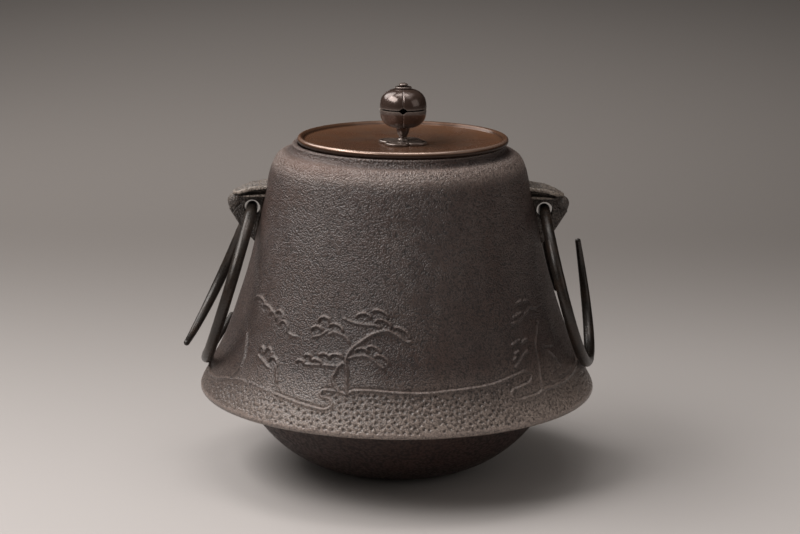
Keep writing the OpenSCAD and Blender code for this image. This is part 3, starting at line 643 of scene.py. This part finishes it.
def press_pits(pits, skin, rows, rise, hollow):
    """Presses the pits into some rows of the skin, and marks them as hollows."""
    nearest = finder([at for at, _, _ in pits])
    for i in rows:
        for j in range(skin.shape[1]):
            _, k, d = nearest.find(skin[i, j])
            _, half, depth = pits[k]
            if d < half:
                share = (1 - (d / half) ** 2) ** 2
                # Painted shade in each pit, darker for deeper pits.
                hollow[i, j] = max(hollow[i, j], share * min(1, depth / 0.85))
                rise[i, j] -= depth * share


def wall_swell(x, y, h):
    """Slow waves in the wall, left by the hand that shaped the mould."""
    rng = np.random.default_rng(3)
    swell = np.zeros_like(x)
    for wave, lift, count in ((42.0, 0.16, 5), (17.0, 0.06, 6), (6.5, 0.035, 7)):
        for _ in range(count):
            way = rng.normal(size=3)
            way *= 2 * math.pi / wave / np.linalg.norm(way)
            swell += lift / math.sqrt(count) * np.sin(way[0] * x + way[1] * y + way[2] * h + rng.uniform(0, 6.28))
    return swell


def kettle_lines():
    """Outlines of the outer face, from the mouth down, and of the inner face, back up."""
    shoulder, wall = bezier(SHOULDER_CURVE, 60)[12:], bezier(WALL_CURVE, 300)
    plain = int(np.argmax(wall[:, 1] < RELIEF_TOP))
    outer = run((eased([(MOUTH_R, 190.3), (MOUTH_R, RIM_Z), (RIM_R, RIM_Z), (RIM_R, NECK_Z)], 0.9), 0.6),
                (eased([(RIM_R, NECK_Z), (64.5, 195.8), (66.4, 194.3), (69.0, 194.0), shoulder[0]], 1.2), 0.5),
                (shoulder, 1.2), (wall[:plain + 1], 2.2),
                (wall[plain:], 0.55), (bezier(EDGE_CURVE, 40), 0.55), (bezier(UNDER_CURVE, 30), 0.8))
    inner = run((eased([(117.5, 48.7), (BOWL_R, BASE_Z), (SEAT_R, BASE_Z), (SEAT_R, FLOOR_Z), (111.6, FLOOR_Z),
                        (115.8, 51.7)], 0.6), 5.0),
                (inside_of(INNER_EDGE, 12)[::-1], 4.0), (inside_of(WALL_CURVE, 60)[::-1], 6.0),
                (inside_of(SHOULDER_CURVE, 20)[::-1], 4.0))[1:]
    return outer, inner


def kettle_skin():
    bearings = np.concatenate([np.arange(-74, 74, 0.28), np.arange(74, 286, 0.48)])
    turn, a = (bearings + 180) % 360 - 180, np.radians(bearings)
    outer, inner = kettle_lines()
    radius, height = outer.T
    far = far_along(outer)
    start = int(np.argmin(np.abs(height - 190) + 1e3 * (radius < 70)))
    order = np.argsort(height[start:], kind="stable")

    def far_of(z):
        return np.interp(z, height[start:][order], far[start:][order])

    rise = relief_heights(bearings, far, radius, far_of)
    skin = swept(outer, a)
    x, y, h = np.moveaxis(skin, -1, 0)

    slope, on_skirt = np.gradient(rise, far, axis=0), radius > 95
    # Painted highlight: the upper flanks of the relief ridges are marked pale, less on the shaded right side.
    ridges = np.clip(0.12 * rise + 0.55 * slope, 0, 1) * (1 - 0.6 * ramp(turn, 20, 25) * ramp(turn, 130, -40))
    # Painted shade under the relief ridges and in the cove round the neck.
    neck = hump(radius, 65.6, 1.3) * (height < 196) * (height > 193)
    hollow = np.clip(-0.3 * slope, 0, 0.4) + 0.35 * neck[:, None]
    # The skirt grows lighter downward, less so at the far left: partly dust, partly painted sheen of its up-facing
    # slope.
    sand = ramp(h, 86, -32) ** 1.4 * on_skirt[:, None]
    sand *= 1 - 0.6 * ramp(turn, -34, -28) * ramp(turn, -150, 60)
    # Wear on the skirt's edge and on the rim, with painted sheen on the shoulder band.
    rim_wear_and_shoulder_sheen = 0.7 * hump(height, 52, 1.2) * (radius > 110) + 0.5 * (height > 198.2)
    rim_wear_and_shoulder_sheen += np.where(height > 190, 0.9, 0.9 * hump(height, 190, 4.5)) * ramp(radius, 66, 4)
    rust = hump(turn, -46, 34) * (hump(height, 192.5, 4.0) * (radius > 63))[:, None]
    rubbed = np.clip(ridges + rim_wear_and_shoulder_sheen[:, None], 0, 1) * (1 - 0.4 * rust)

    rows = np.where((height < 82) & (height > 50) & on_skirt)[0]
    press_pits(sand_pits(outer, far, far_of), skin, rows, rise, hollow)
    side = ramp(radius, 66, 6) * ramp(height, 51, 5)
    rise += (wall_swell(x, y, h) - 0.12) * side[:, None]
    out = outward(outer)
    moved = np.stack([x + out[:, :1] * rise * np.sin(a), y - out[:, :1] * rise * np.cos(a), h + out[:, 1:] * rise], -1)

    blank = np.zeros((len(inner), len(bearings)))
    marks = {"rubbed": rubbed, "hollow": hollow, "sand": sand, "rust": rust}
    marks = {label: np.concatenate([values, blank]) for label, values in marks.items()}
    full = skin_mesh(np.concatenate([moved, swept(inner, a)]), True, marks, SKIN_SHARP)
    obj = placed("full_skin", full)
    obj.modifiers.new("thin", "DECIMATE").ratio = min(1.0, SKIN_FACES / len(full.polygons))
    mesh = made_from(obj)
    shade(mesh, SKIN_SHARP)
    return mesh


# Rules: Geometry Nodes trees that set out petals or draw wire

def rule(name, **kinds):
    """A tree with its named inputs, the last of them the finish."""
    tree = bpy.data.node_groups.new(name, "GeometryNodeTree")
    for label, kind in {"Geometry": "Geometry", **kinds, "Finish": "Material"}.items():
        socket(tree, "INPUT", label, kind)
    socket(tree, "OUTPUT", "Geometry", "Geometry")
    return tree, tree.nodes.new("NodeGroupInput").outputs


def dressed(tree, shape, coat):
    """Ends a rule: its shape made real and given its finish."""
    real = put(tree, "GeometryNodeRealizeInstances", Geometry=shape)
    coated = put(tree, "GeometryNodeSetMaterial", Geometry=real.outputs[0], Material=coat)
    put(tree, "NodeGroupOutput", Geometry=coated.outputs[0])
    return tree


def grown(start, tree, sharp, **values):
    """The mesh that a rule makes from a starting mesh, with the rule's inputs set."""
    obj = placed("start", start)
    modifier = obj.modifiers.new("rule", "NODES")
    modifier.node_group = tree
    ids = {s.name: s.identifier for s in tree.interface.items_tree if s.in_out == "INPUT"}
    for label, value in values.items():
        modifier[ids[label.replace("_", " ")]] = value
    mesh = made_from(obj)
    shade(mesh, sharp)
    return mesh


# Bowl, lid and knob, turned on the lathe

def bowl_mesh():
    line = run((bezier(BOWL_CURVE, 80), 1.6),
               (eased([(95, BASE_Z), (90.7, BASE_Z), (90.7, 55), (87.2, 55), (87.2, BASE_Z)], 0.5), 1.2),
               (bezier(HOLLOW_CURVE, 40), 4.0), ([(30, 4), (0, 4)], 6.0))
    line = np.concatenate([[(0, 0), (12, 0), (24, 0)], line])
    r, z = line.T
    rubbed = hump(z, 0.5, 1.5) * (r > 26) * (z < 3)
    return turned(line, 220, 50, axis=0.0, loop=False, rubbed=rubbed, hollow=0 * rubbed)


def lid_mesh():
    """The dished lid, with a flat facet, polished by wear, on its round lip; the lip's front carries a painted
    highlight, and its lower half and inner face painted shade.
    """
    lip_r, lip_w, lip_h, thick = 63.4, 3.4, 4.1, 2.6
    land_r, dish_r, under_r, rest_r, hole_r = 16.3, 58.98, 55.5, 61.7, 1.75
    t = np.radians(np.linspace(-70, 130, 26))
    lip = np.stack([lip_r - lip_w / 2 + lip_w / 2 * np.cos(t), LID_Z + lip_h / 2 + lip_h / 2 * np.sin(t)], 1)
    face = (t > math.radians(34)) & (t < math.radians(76))
    ends = lip[face][[0, -1]]
    flat = ends[0] + (ends[1] - ends[0]) * np.linspace(0, 1, face.sum())[:, None]
    lip[face] = flat + 0.35 * (lip[face] - flat)
    low = LAND_Z - thick
    pull = (dish_r - land_r) / 4
    dish = bezier([(dish_r, LID_Z + lip_h / 2), (dish_r - pull, LID_Z + lip_h / 6), (land_r + pull, LAND_Z),
                   (land_r, LAND_Z)], 60)
    under = bezier([(land_r, low), (land_r + pull, low), (under_r - pull, LID_Z + (low - LID_Z) / 6),
                    (under_r, LID_Z)], 30)
    line = run(([(rest_r, LID_Z), lip[0]], 0.5), (lip, 0.4), ([lip[-1], dish[0]], 0.5), (dish, 0.8),
               ([(land_r, LAND_Z), (hole_r, LAND_Z)], 1.2), ([(hole_r, LAND_Z), (hole_r, low)], 1.0),
               ([(hole_r, low), (land_r, low)], 2.5), (under, 2.0), ([(under_r, LID_Z), (rest_r, LID_Z)], 2.0))[:-1]
    r, z = line.T
    on_lip = r > 59.5
    # Wear on the lip's flat facet; the lines below keep it mostly to the front, as a painted highlight.
    rubbed = on_lip * hump(z, 202.75, 0.5) * np.clip((r - 61.2) / 0.6, 0.2, 1)
    shaded = on_lip * ramp(z, 202.2, -0.8) + 0.4 * (r < 61.3) * (r > 58.6) * (z > 200.8)
    columns = 240
    to_front = np.clip(np.cos(np.linspace(0, 2 * math.pi, columns, endpoint=False)), 0, 1)
    rubbed = rubbed[:, None] * (0.12 + 0.88 * to_front)
    return turned(line, columns, 35, rubbed=rubbed, hollow=shaded, warm=ramp(r, 34, 26))


def seat_mesh():
    """Four petals round the stem, each a low leaf with a raised border, set round by a rule."""
    petal_r, sharp = 7.65, 45
    line = run((eased([(0, 2.0), (4.6, 1.8), (5.2, 1.45), (6.0, 1.5), (6.6, 1.85), (7.3, 1.8), (petal_r, 1.35),
                       (petal_r, 0.02), (0, 0.02)], 0.5), 0.35))
    # Wear on the petals' raised borders and outer rims, also standing in as painted highlight on those edges.
    rubbed = np.clip((line[:, 1] - 1.6) * 3, 0, 0.6) + 0.3 * (line[:, 0] > 7.2)
    leaf = placed("petal", turned(line, 48, sharp, axis=0.0, loop=False, rubbed=rubbed))
    tree, ins = rule("Petals round a stem", Leaf="Object", Petals="Int", Reach="Float", First="Float", Place="Vector")
    ring = put(tree, "GeometryNodeMeshCircle", Vertices=ins["Petals"], Radius=ins["Reach"])
    shape = put(tree, "GeometryNodeObjectInfo", Object=ins["Leaf"]).outputs["Geometry"]
    spots = put(tree, "GeometryNodeInstanceOnPoints", Points=ring.outputs[0], Instance=shape)
    spun = put(tree, "ShaderNodeCombineXYZ", Z=ins["First"])
    moved = put(tree, "GeometryNodeTransform", Geometry=spots.outputs[0], Translation=ins["Place"],
                Rotation=spun.outputs[0])
    dressed(tree, moved.outputs[0], ins["Finish"])
    mesh = grown(bpy.data.meshes.new("seat"), tree, sharp, Leaf=leaf, Petals=4, Reach=petal_r * MM,
                 First=math.radians(-114.0), Place=(LID_SHIFT * MM, 0.0, LAND_Z * MM), Finish=KNOB_BRONZE)
    bpy.data.objects.remove(leaf)
    return mesh


def stem_mesh():
    z, foot_r, waist, cup_r, step = 200.7, 3.2, 2.3, 4.1, 7.4 / 4
    top = z + 4 * step
    foot = bezier([(foot_r, z), (foot_r, z + step / 2), (waist, z + step / 2), (waist, z + step)], 12)
    cup = bezier([(waist, z + step), (waist, z + 1.5 * step), (cup_r, z + 2.5 * step), (cup_r, top)], 24)
    line = run(([(PIN_R, z), (foot_r, z)], 0.5), (foot, 0.15), (cup, 0.25), ([(cup_r, top), (PIN_R, top)], 0.6),
               ([(PIN_R, top), (PIN_R, z)], 2.0))[:-1]
    return turned(line, 72, 35, rubbed=hump(line[:, 1], z + 0.4, 0.5))


def bell_mesh(up):
    """Half of the bell: a lobed shell with grooves from pole to slit, and a quarter of each sound hole."""
    columns, form, mid = 320, 2.6, 219.9
    half_w, half_h, flat_r, slit, wall = 14.3, 11.8, 4.1, 0.45, 1.8
    flat = math.acos((flat_r / half_w) ** (form / 2))
    tall = half_h / math.sin(flat) ** (2 / form)
    phi = np.linspace(0, 2 * math.pi, columns, endpoint=False)
    to_groove = (phi + math.pi / 4) % (math.pi / 2) - math.pi / 4
    along = to_groove * half_w
    notch = slit + 1.55 * np.clip(1 - (np.abs(along) / 2.35) ** 1.25, 0, None)
    groove = 0.5 * hump(along, 0, 0.4) + 0.32 * hump(along, 0, 2.6)

    def shell(shrink, z_edge, rows):
        w, t = half_w - shrink, tall - shrink
        start = np.arccos(np.clip(((BORE_R if shrink else flat_r) / w) ** (form / 2), 0, 1))
        stop = np.arcsin((z_edge / t) ** (form / 2))
        u = np.linspace(0, 1, rows)[:, None]
        angle = start + (stop - start) * u
        return w * np.cos(angle) ** (2 / form), t * np.sin(angle) ** (2 / form)

    ro, zo = shell(0.0, notch, 60)
    ro = ro - groove * ramp(ro, flat_r, 2.5) * 0.9
    lip = np.linspace(0, 1, 5)[1:-1, None]
    ri, zi = shell(wall, notch, 24)
    ri, zi = ri[::-1], zi[::-1]
    rl, zl = ro[-1] + (ri[0] - ro[-1]) * lip, notch + 0 * lip
    pole_r, pole_z = np.array([[BORE_R], [2.4], [3.3]]) + 0 * phi, np.full((3, columns), half_h)
    r = np.concatenate([pole_r, ro, rl, ri])
    z = np.concatenate([pole_z, zo, zl, zi])
    rows = np.stack([LID_SHIFT + r * np.sin(phi), -r * np.cos(phi), mid + up * z], -1)
    outside = np.arange(len(r)) < len(r) - len(ri)
    return skin_mesh(rows, True, {"rubbed": 0.6 * hump(z, notch, 0.5) * outside[:, None]}, 40)


def washer_mesh(z, height=1.3, radius=5.0):
    line = eased([(BORE_R, z), (radius, z), (radius, z + height), (BORE_R, z + height * 0.86), (BORE_R, z)], 0.42, 0.1)
    line = run((line, 0.2))[:-1]
    rubbed = 0.4 * ramp(line[:, 0], radius - 0.9, 0.7) * (line[:, 1] > z + height * 0.45)
    return turned(line, 72, 45, rubbed=rubbed)


def pin_mesh():
    """The rod through the knob, with its peened button and tail."""
    button_r, button_z, rod_top, tail_r = 2.8, 234.1, 233, 3.3
    t, u = np.radians(np.linspace(-60, 90, 14)), np.radians(np.linspace(-90, 0, 10))
    button = np.stack([button_r * np.cos(t), button_z + 1.1 * np.sin(t)], 1)
    tail = np.stack([tail_r * np.cos(u), TAIL_Z + 1.4 * np.sin(u)], 1)
    line = run((tail, 0.3), ([(tail_r, TAIL_Z), (PIN_R, TAIL_Z)], 0.6), ([(PIN_R, TAIL_Z), (PIN_R, rod_top)], 3.0),
               ([(PIN_R, rod_top), button[0]], 0.5), (button, 0.2))
    return turned(line, 48, 50, loop=False, rubbed=ramp(line[:, 1], 233.6, 2.5))


# Lugs and rings

def leaf_shell(reach, root, widths, crest, crown, thick, ribs):
    """A shell-shaped roof as a closed skin: ribbed on top, hollowed below, round at its tip.

    Points run across the shell, from its root in the wall to its tip, with the lug's hole at the origin.
    """
    x = root + (reach - root) * (1 - (1 - np.linspace(0, 1, 44)) ** 1.6)
    tip = np.sqrt(np.clip(1 - (np.maximum(x, 0) / (reach + 0.05)) ** 2, 0, 1))
    wide = np.interp(np.minimum(x, 0), (root, 0), widths) * tip
    ridge = np.interp(x, *zip(*crest))[:, None]
    arch = crown * np.clip(wide / widths[0], 0, 1)[:, None]
    v = np.sin(np.linspace(-math.pi / 2, math.pi / 2, 61))
    fade = ramp(x, reach, -5)[:, None]
    rib = ribs * np.cos(v * math.pi * 7.0)[None, :] * fade * np.clip(1.25 - np.abs(v), 0, 1)
    border = 0.35 * hump(np.abs(v), 0.93, 0.07)[None, :] * fade
    top = ridge - arch * v ** 2 + rib + border
    low = np.minimum(ridge - arch - thick + 0.36 * arch * (1 - v ** 2), top - 0.4)
    across, along = wide[:, None] * v, np.repeat(x[:, None], len(v), 1)
    over, under = (np.stack([along, across, face], -1) for face in (top, low))
    return np.concatenate([over, under[:, ::-1]], 1)


def lug_mesh(node):
    """The lug as it leaves the mould: a thin web with its hole, a round nose, and two shells over it."""
    web_share, nose_r, nose_x, nose_z, voxel = 0.66, 4.85, 10.1, 3.7, 0.28
    roof = leaf_shell(11.7, -10.5, (9.9, 8.4), ((-10.5, 17.0), (0, 15.3), (6, 13.0), (11.7, 9.9)),
                      crown=3.0, thick=1.4, ribs=0.26)
    second = leaf_shell(8.8, -8.5, (8.4, 7.2), ((-8.5, 9.2), (0, 8.6), (8.8, 7.6)), crown=0.6, thick=1.1, ribs=0.0)
    side = 1 if nodes[node].data.vertices[0].co.x > 0 else -1
    bm = bmesh.new()
    bm.from_mesh(nodes[node].data)
    bmesh.ops.remove_doubles(bm, verts=bm.verts, dist=1e-6)
    for vert in bm.verts:
        vert.co.y *= web_share
    here = Matrix.Translation((side * LUG_X * MM, 0, LUG_Z * MM)) @ Matrix.Diagonal((side, 1, 1, 1))
    nose_at = here @ Matrix.Translation((nose_x * MM, 0, nose_z * MM))
    bmesh.ops.create_icosphere(bm, subdivisions=4, radius=nose_r * MM, matrix=nose_at)
    for rows in (roof, second):
        count, across = rows.shape[:2]
        verts = [bm.verts.new(here @ Vector(p)) for p in (rows * MM).reshape(-1, 3)]
        for quad in skin_quads(count, across, False):
            bm.faces.new([verts[k] for k in quad])
        bm.faces.new(verts[:across])
        bm.faces.new(verts[-across:])
    rough = bpy.data.meshes.new("rough_lug")
    write_clean(bm, rough)
    obj = placed("rough_lug", rough)
    remesh = obj.modifiers.new("voxels", "REMESH")
    remesh.mode, remesh.voxel_size = "VOXEL", voxel * MM
    soft = obj.modifiers.new("soft", "SMOOTH")
    soft.factor, soft.iterations = 0.5, 3
    mesh = made_from(obj)
    co = np.empty(len(mesh.vertices) * 3)
    mesh.vertices.foreach_get("co", co)
    co = co.reshape(-1, 3) / MM
    x, y, z = side * co[:, 0] - LUG_X, np.abs(co[:, 1]), co[:, 2] - LUG_Z
    wide = 8.6 * np.sqrt(np.clip(1 - (np.maximum(x, 0) / 11.75) ** 2, 0, 1)) + 0.14 * np.clip(-x, 0, 11)
    # Wear on the shells' rims and the nose, mixed with painted highlight: the tops above the roof, the second shell's
    # front edge and the top of the nose are made lighter.
    rubbed = ramp(y, wide - 1.5, 1.1) * (z > 9.2) + 0.8 * ramp(x, 9.6, 1.5) * (z > 8.6) + 0.45 * (z > 9.9)
    rubbed += 0.8 * ramp(y, 5.6, 0.9) * (z < 9.4) * (z > 7.2)
    rubbed += 0.5 * np.exp(-((x - 10.3) ** 2 + y ** 2 + (z - 7.0) ** 2) / 12.0)
    set_marks(mesh, {"rubbed": np.clip(rubbed, 0, 1), "hollow": 0 * rubbed})
    mesh.update()
    shade(mesh, 60)
    return mesh


def ring_line(side, lean, turn, coil, top_end, foot_end):
    """Middle line of a ring, from the tip of its top end to the tip of its foot end."""
    hang, radius, step = 0.66526, 48.0, 3.0
    lean, turn = math.radians(lean), math.radians(turn)
    down = np.array([math.sin(lean), 0, -math.cos(lean)])
    along = np.array([math.sin(turn) * math.cos(lean), math.cos(turn), math.sin(turn) * math.sin(lean)])
    out = np.cross(down, along)

    def front(a):
        return (hang + radius * (1 - math.cos(a))) * down - radius * math.sin(a) * along + coil * a / math.pi * out

    def angles(size):
        return np.radians(np.linspace(0, size, int(math.ceil(size / step)) + 1))

    def free_end(root, drop, rise, end):
        size, first, last = end
        for a in angles(size):
            b = math.radians(first + (last - first) * math.degrees(a) / size)
            bent = math.cos(b) * drop + math.sin(b) * out
            yield root + radius * (math.sin(a) * along + (1 - math.cos(a)) * bent) + rise * a / math.pi * out

    top = list(free_end(front(0), down, -coil, top_end))[::-1]
    bow = [front(a) for a in angles(180)[1:-1]]
    foot = list(free_end(front(math.pi), -down, coil, foot_end))
    line = np.array(top + bow + foot) + np.array([LUG_X, 0, LUG_Z])
    line[:, 0] *= side
    return line


def forged_wire():
    """Wire along a line, drawn down to a round tip at both ends, with a trace of the hammer."""
    tree, ins = rule("Forged wire", Wire_radius="Float", Tip_radius="Float", Taper="Float", Sides="Int", Step="Float",
                     Hammer="Float")
    tip = ins["Tip radius"]
    line = put(tree, "GeometryNodeMeshToCurve", Mesh=ins["Geometry"])
    line = put(tree, "GeometryNodeResampleCurve", {"mode": "LENGTH"}, Curve=line.outputs[0], Length=ins["Step"])
    here = tree.nodes.new("GeometryNodeSplineParameter").outputs["Length"]
    whole = tree.nodes.new("GeometryNodeSplineLength").outputs["Length"]
    to_tip = sum_of(tree, "MINIMUM", here, less(tree, whole, here))

    def share_of(length):
        return sum_of(tree, "MINIMUM", sum_of(tree, "DIVIDE", to_tip, length), 1.0)

    swell = sum_of(tree, "SINE", times(tree, share_of(ins["Taper"]), math.pi / 2))
    radius = plus(tree, swell, less(tree, ins["Wire radius"], tip), tip)
    near = less(tree, 1.0, share_of(tip))
    rounding = sum_of(tree, "SQRT", less(tree, 1.02, times(tree, near, near)))
    dents = put(tree, "ShaderNodeTexNoise", Scale=170.0, Detail=1.0).outputs[0]
    dent = plus(tree, less(tree, dents, 0.5), ins["Hammer"], 0.98)
    section = put(tree, "GeometryNodeCurvePrimitiveCircle", Resolution=ins["Sides"], Radius=1.0)
    wire = put(tree, "GeometryNodeCurveToMesh", Curve=line.outputs[0], Profile_Curve=section.outputs[0],
               Scale=times(tree, times(tree, radius, rounding), dent), Fill_Caps=True)
    return dressed(tree, wire.outputs[0], ins["Finish"])


FORGED_WIRE = forged_wire()


def ring_mesh(line):
    path = bpy.data.meshes.new("ring_line")
    path.from_pydata((line * MM).tolist(), [(i, i + 1) for i in range(len(line) - 1)], [])
    return grown(path, FORGED_WIRE, 60, Wire_radius=3.4 * MM, Tip_radius=1.75 * MM, Taper=75 * MM, Sides=28,
                 Step=0.8 * MM, Hammer=0.06, Finish=RING_IRON)


# Pieces

piece("kettle_skin", kettle_skin(), KETTLE_IRON, "kettle", "cast_iron_skin", "kettle_body")
piece("bowl_bottom", bowl_mesh(), BOWL_IRON, "kettle", "base_iron", "base_bowl")
for label in ("left", "right"):
    piece("shell_lug_" + label, lug_mesh("lug_" + label), LUG_IRON, "kettle", "cast_iron_skin", "lug_" + label)
piece("forged_ring_left", ring_mesh(ring_line(-1, 17.0325, 2, 0, (174, -1, 8.5), (57, -45, -24))),
      None, "left_ring", "forged_iron", "ring_left")
piece("forged_ring_right", ring_mesh(ring_line(1, 12.3779, 5, 8.6, (107, -14, 0), (111, 0, 0))),
      None, "right_ring", "forged_iron", "ring_right")
piece("lid_dish", lid_mesh(), LID_COPPER, "lid", "lid_bronze", "lid_plate")
piece("knob_petals", seat_mesh(), None, "lid", "knob_bronze", "knob_seat")
for label, mesh, node in (
        ("stem_turning", stem_mesh(), "knob_stem"), ("bell_half_low", bell_mesh(-1), "bell_lower"),
        ("bell_half_high", bell_mesh(1), "bell_upper"), ("bell_washer", washer_mesh(231.7), "knob_top_washer"),
        ("tail_washer", washer_mesh(TAIL_Z), "rivet_washer"), ("peened_pin", pin_mesh(), "knob_pin")):
    piece(label, mesh, KNOB_BRONZE, "knob", "knob_bronze", node)
for node, coat in (("seam_seal", LACQUER), ("sound_plates", SOUND_IRON), ("sound_plate_pads", LACQUER),
                   ("lid_collar", LID_COPPER)):
    nodes[node].data.materials.clear()
    nodes[node].data.materials.append(coat)


# Table, light and camera, in metres

# The paper's near and far tones: the far one darker, a painted fall-off of light.
PAPER_NEAR, PAPER_FAR, PAPER_FIBRE = (0.485, 0.455, 0.441), (0.164, 0.149, 0.139), (0.5, 0.48, 0.46)
WARM_WHITE, WINDOW_WHITE, ROOM = (1.0, 0.975, 0.955), (1.0, 0.95, 0.9), (0.2, 0.19, 0.18)
CAMERA_AT, CAMERA_DIP, CAMERA_ROLL = (0.00131, -1.3194, 0.4111), 12.334, 0.485


def table_paper():
    material, tree, shader = finish("Pale grey paper")
    where = place_on(tree)
    depth = put(tree, "ShaderNodeSeparateXYZ", Vector=where).outputs["Y"]
    fibre = noise(tree, where, 900.0, 3.0, 0.6)
    # Painted fall-off of light: the paper darkens from near to far.
    paper = blend(tree, spread(tree, depth, -0.3, 0.75), PAPER_NEAR, PAPER_FAR)
    paper = blend(tree, spread(tree, fibre, 0.2, 0.8, 0.0, 0.05), paper, PAPER_FIBRE)
    fit(tree, shader, Base_Color=paper, Roughness=0.75, Specular_IOR_Level=0.2)
    mesh = bpy.data.meshes.new("table_paper")
    across, deep = 13, 14
    points = [(x, y, 0.0) for y in np.linspace(-6, 7, deep) for x in np.linspace(-6, 6, across)]
    corners = [j * across + i for j in range(deep - 1) for i in range(across - 1)]
    mesh.from_pydata(points, [], [(k, k + 1, k + across + 1, k + across) for k in corners])
    mesh.materials.append(material)
    obj = placed("table_paper", mesh)


def softbox(name, place, aim, width, depth, power, colour=WARM_WHITE, beam=180):
    light = bpy.data.lights.new(name, "AREA")
    light.shape, light.size, light.size_y = "RECTANGLE", width, depth
    light.energy, light.color, light.spread = power, colour, math.radians(beam)
    obj = placed(name, light)
    obj.location = place
    obj.rotation_euler = (Vector(aim) - Vector(place)).to_track_quat("-Z", "Y").to_euler()


table_paper()
softbox("big_high_box", (-1.04, -0.38, 1.34), (0, -0.05, 0.1), 1.4, 0.8, 25.0)
softbox("back_box", (-0.9, 0.7, 1.2), (0, 0, 0.1), 0.9, 0.9, 9.0)
softbox("top_box", (0.2, 0.02, 1.5), (0, 0, 0.1), 1.3, 0.9, 3.2)
softbox("lip_strip", (-0.12, 0.16, 1.5), (-0.12, 0.06, 0.2), 0.8, 0.35, 3.4)
softbox("right_box", (1.25, -0.55, 0.75), (0, 0, 0.09), 0.9, 0.9, 1.5, WINDOW_WHITE)
softbox("far_paper_box", (-0.3, -1.3, 2.4), (-0.2, 2.8, 0), 0.8, 0.5, 13.0, beam=46)
world = bpy.data.worlds.new("Dim room")
world.use_nodes = True
fit(world.node_tree, world.node_tree.nodes["Background"], Color=ROOM, Strength=1.1)
scene.world = world
world.cycles_visibility.glossy = False
scene.view_settings.view_transform = "Standard"

lens = bpy.data.cameras.new("photo_camera")
lens.lens, lens.sensor_width = 100.0, 36.0
camera = placed("photo_camera", lens)
tilt, roll = math.radians(90 - CAMERA_DIP), math.radians(CAMERA_ROLL)
camera.matrix_world = Matrix.Translation(CAMERA_AT) @ Matrix.Rotation(tilt, 4, "X") @ Matrix.Rotation(roll, 4, "Z")
scene.camera = camera
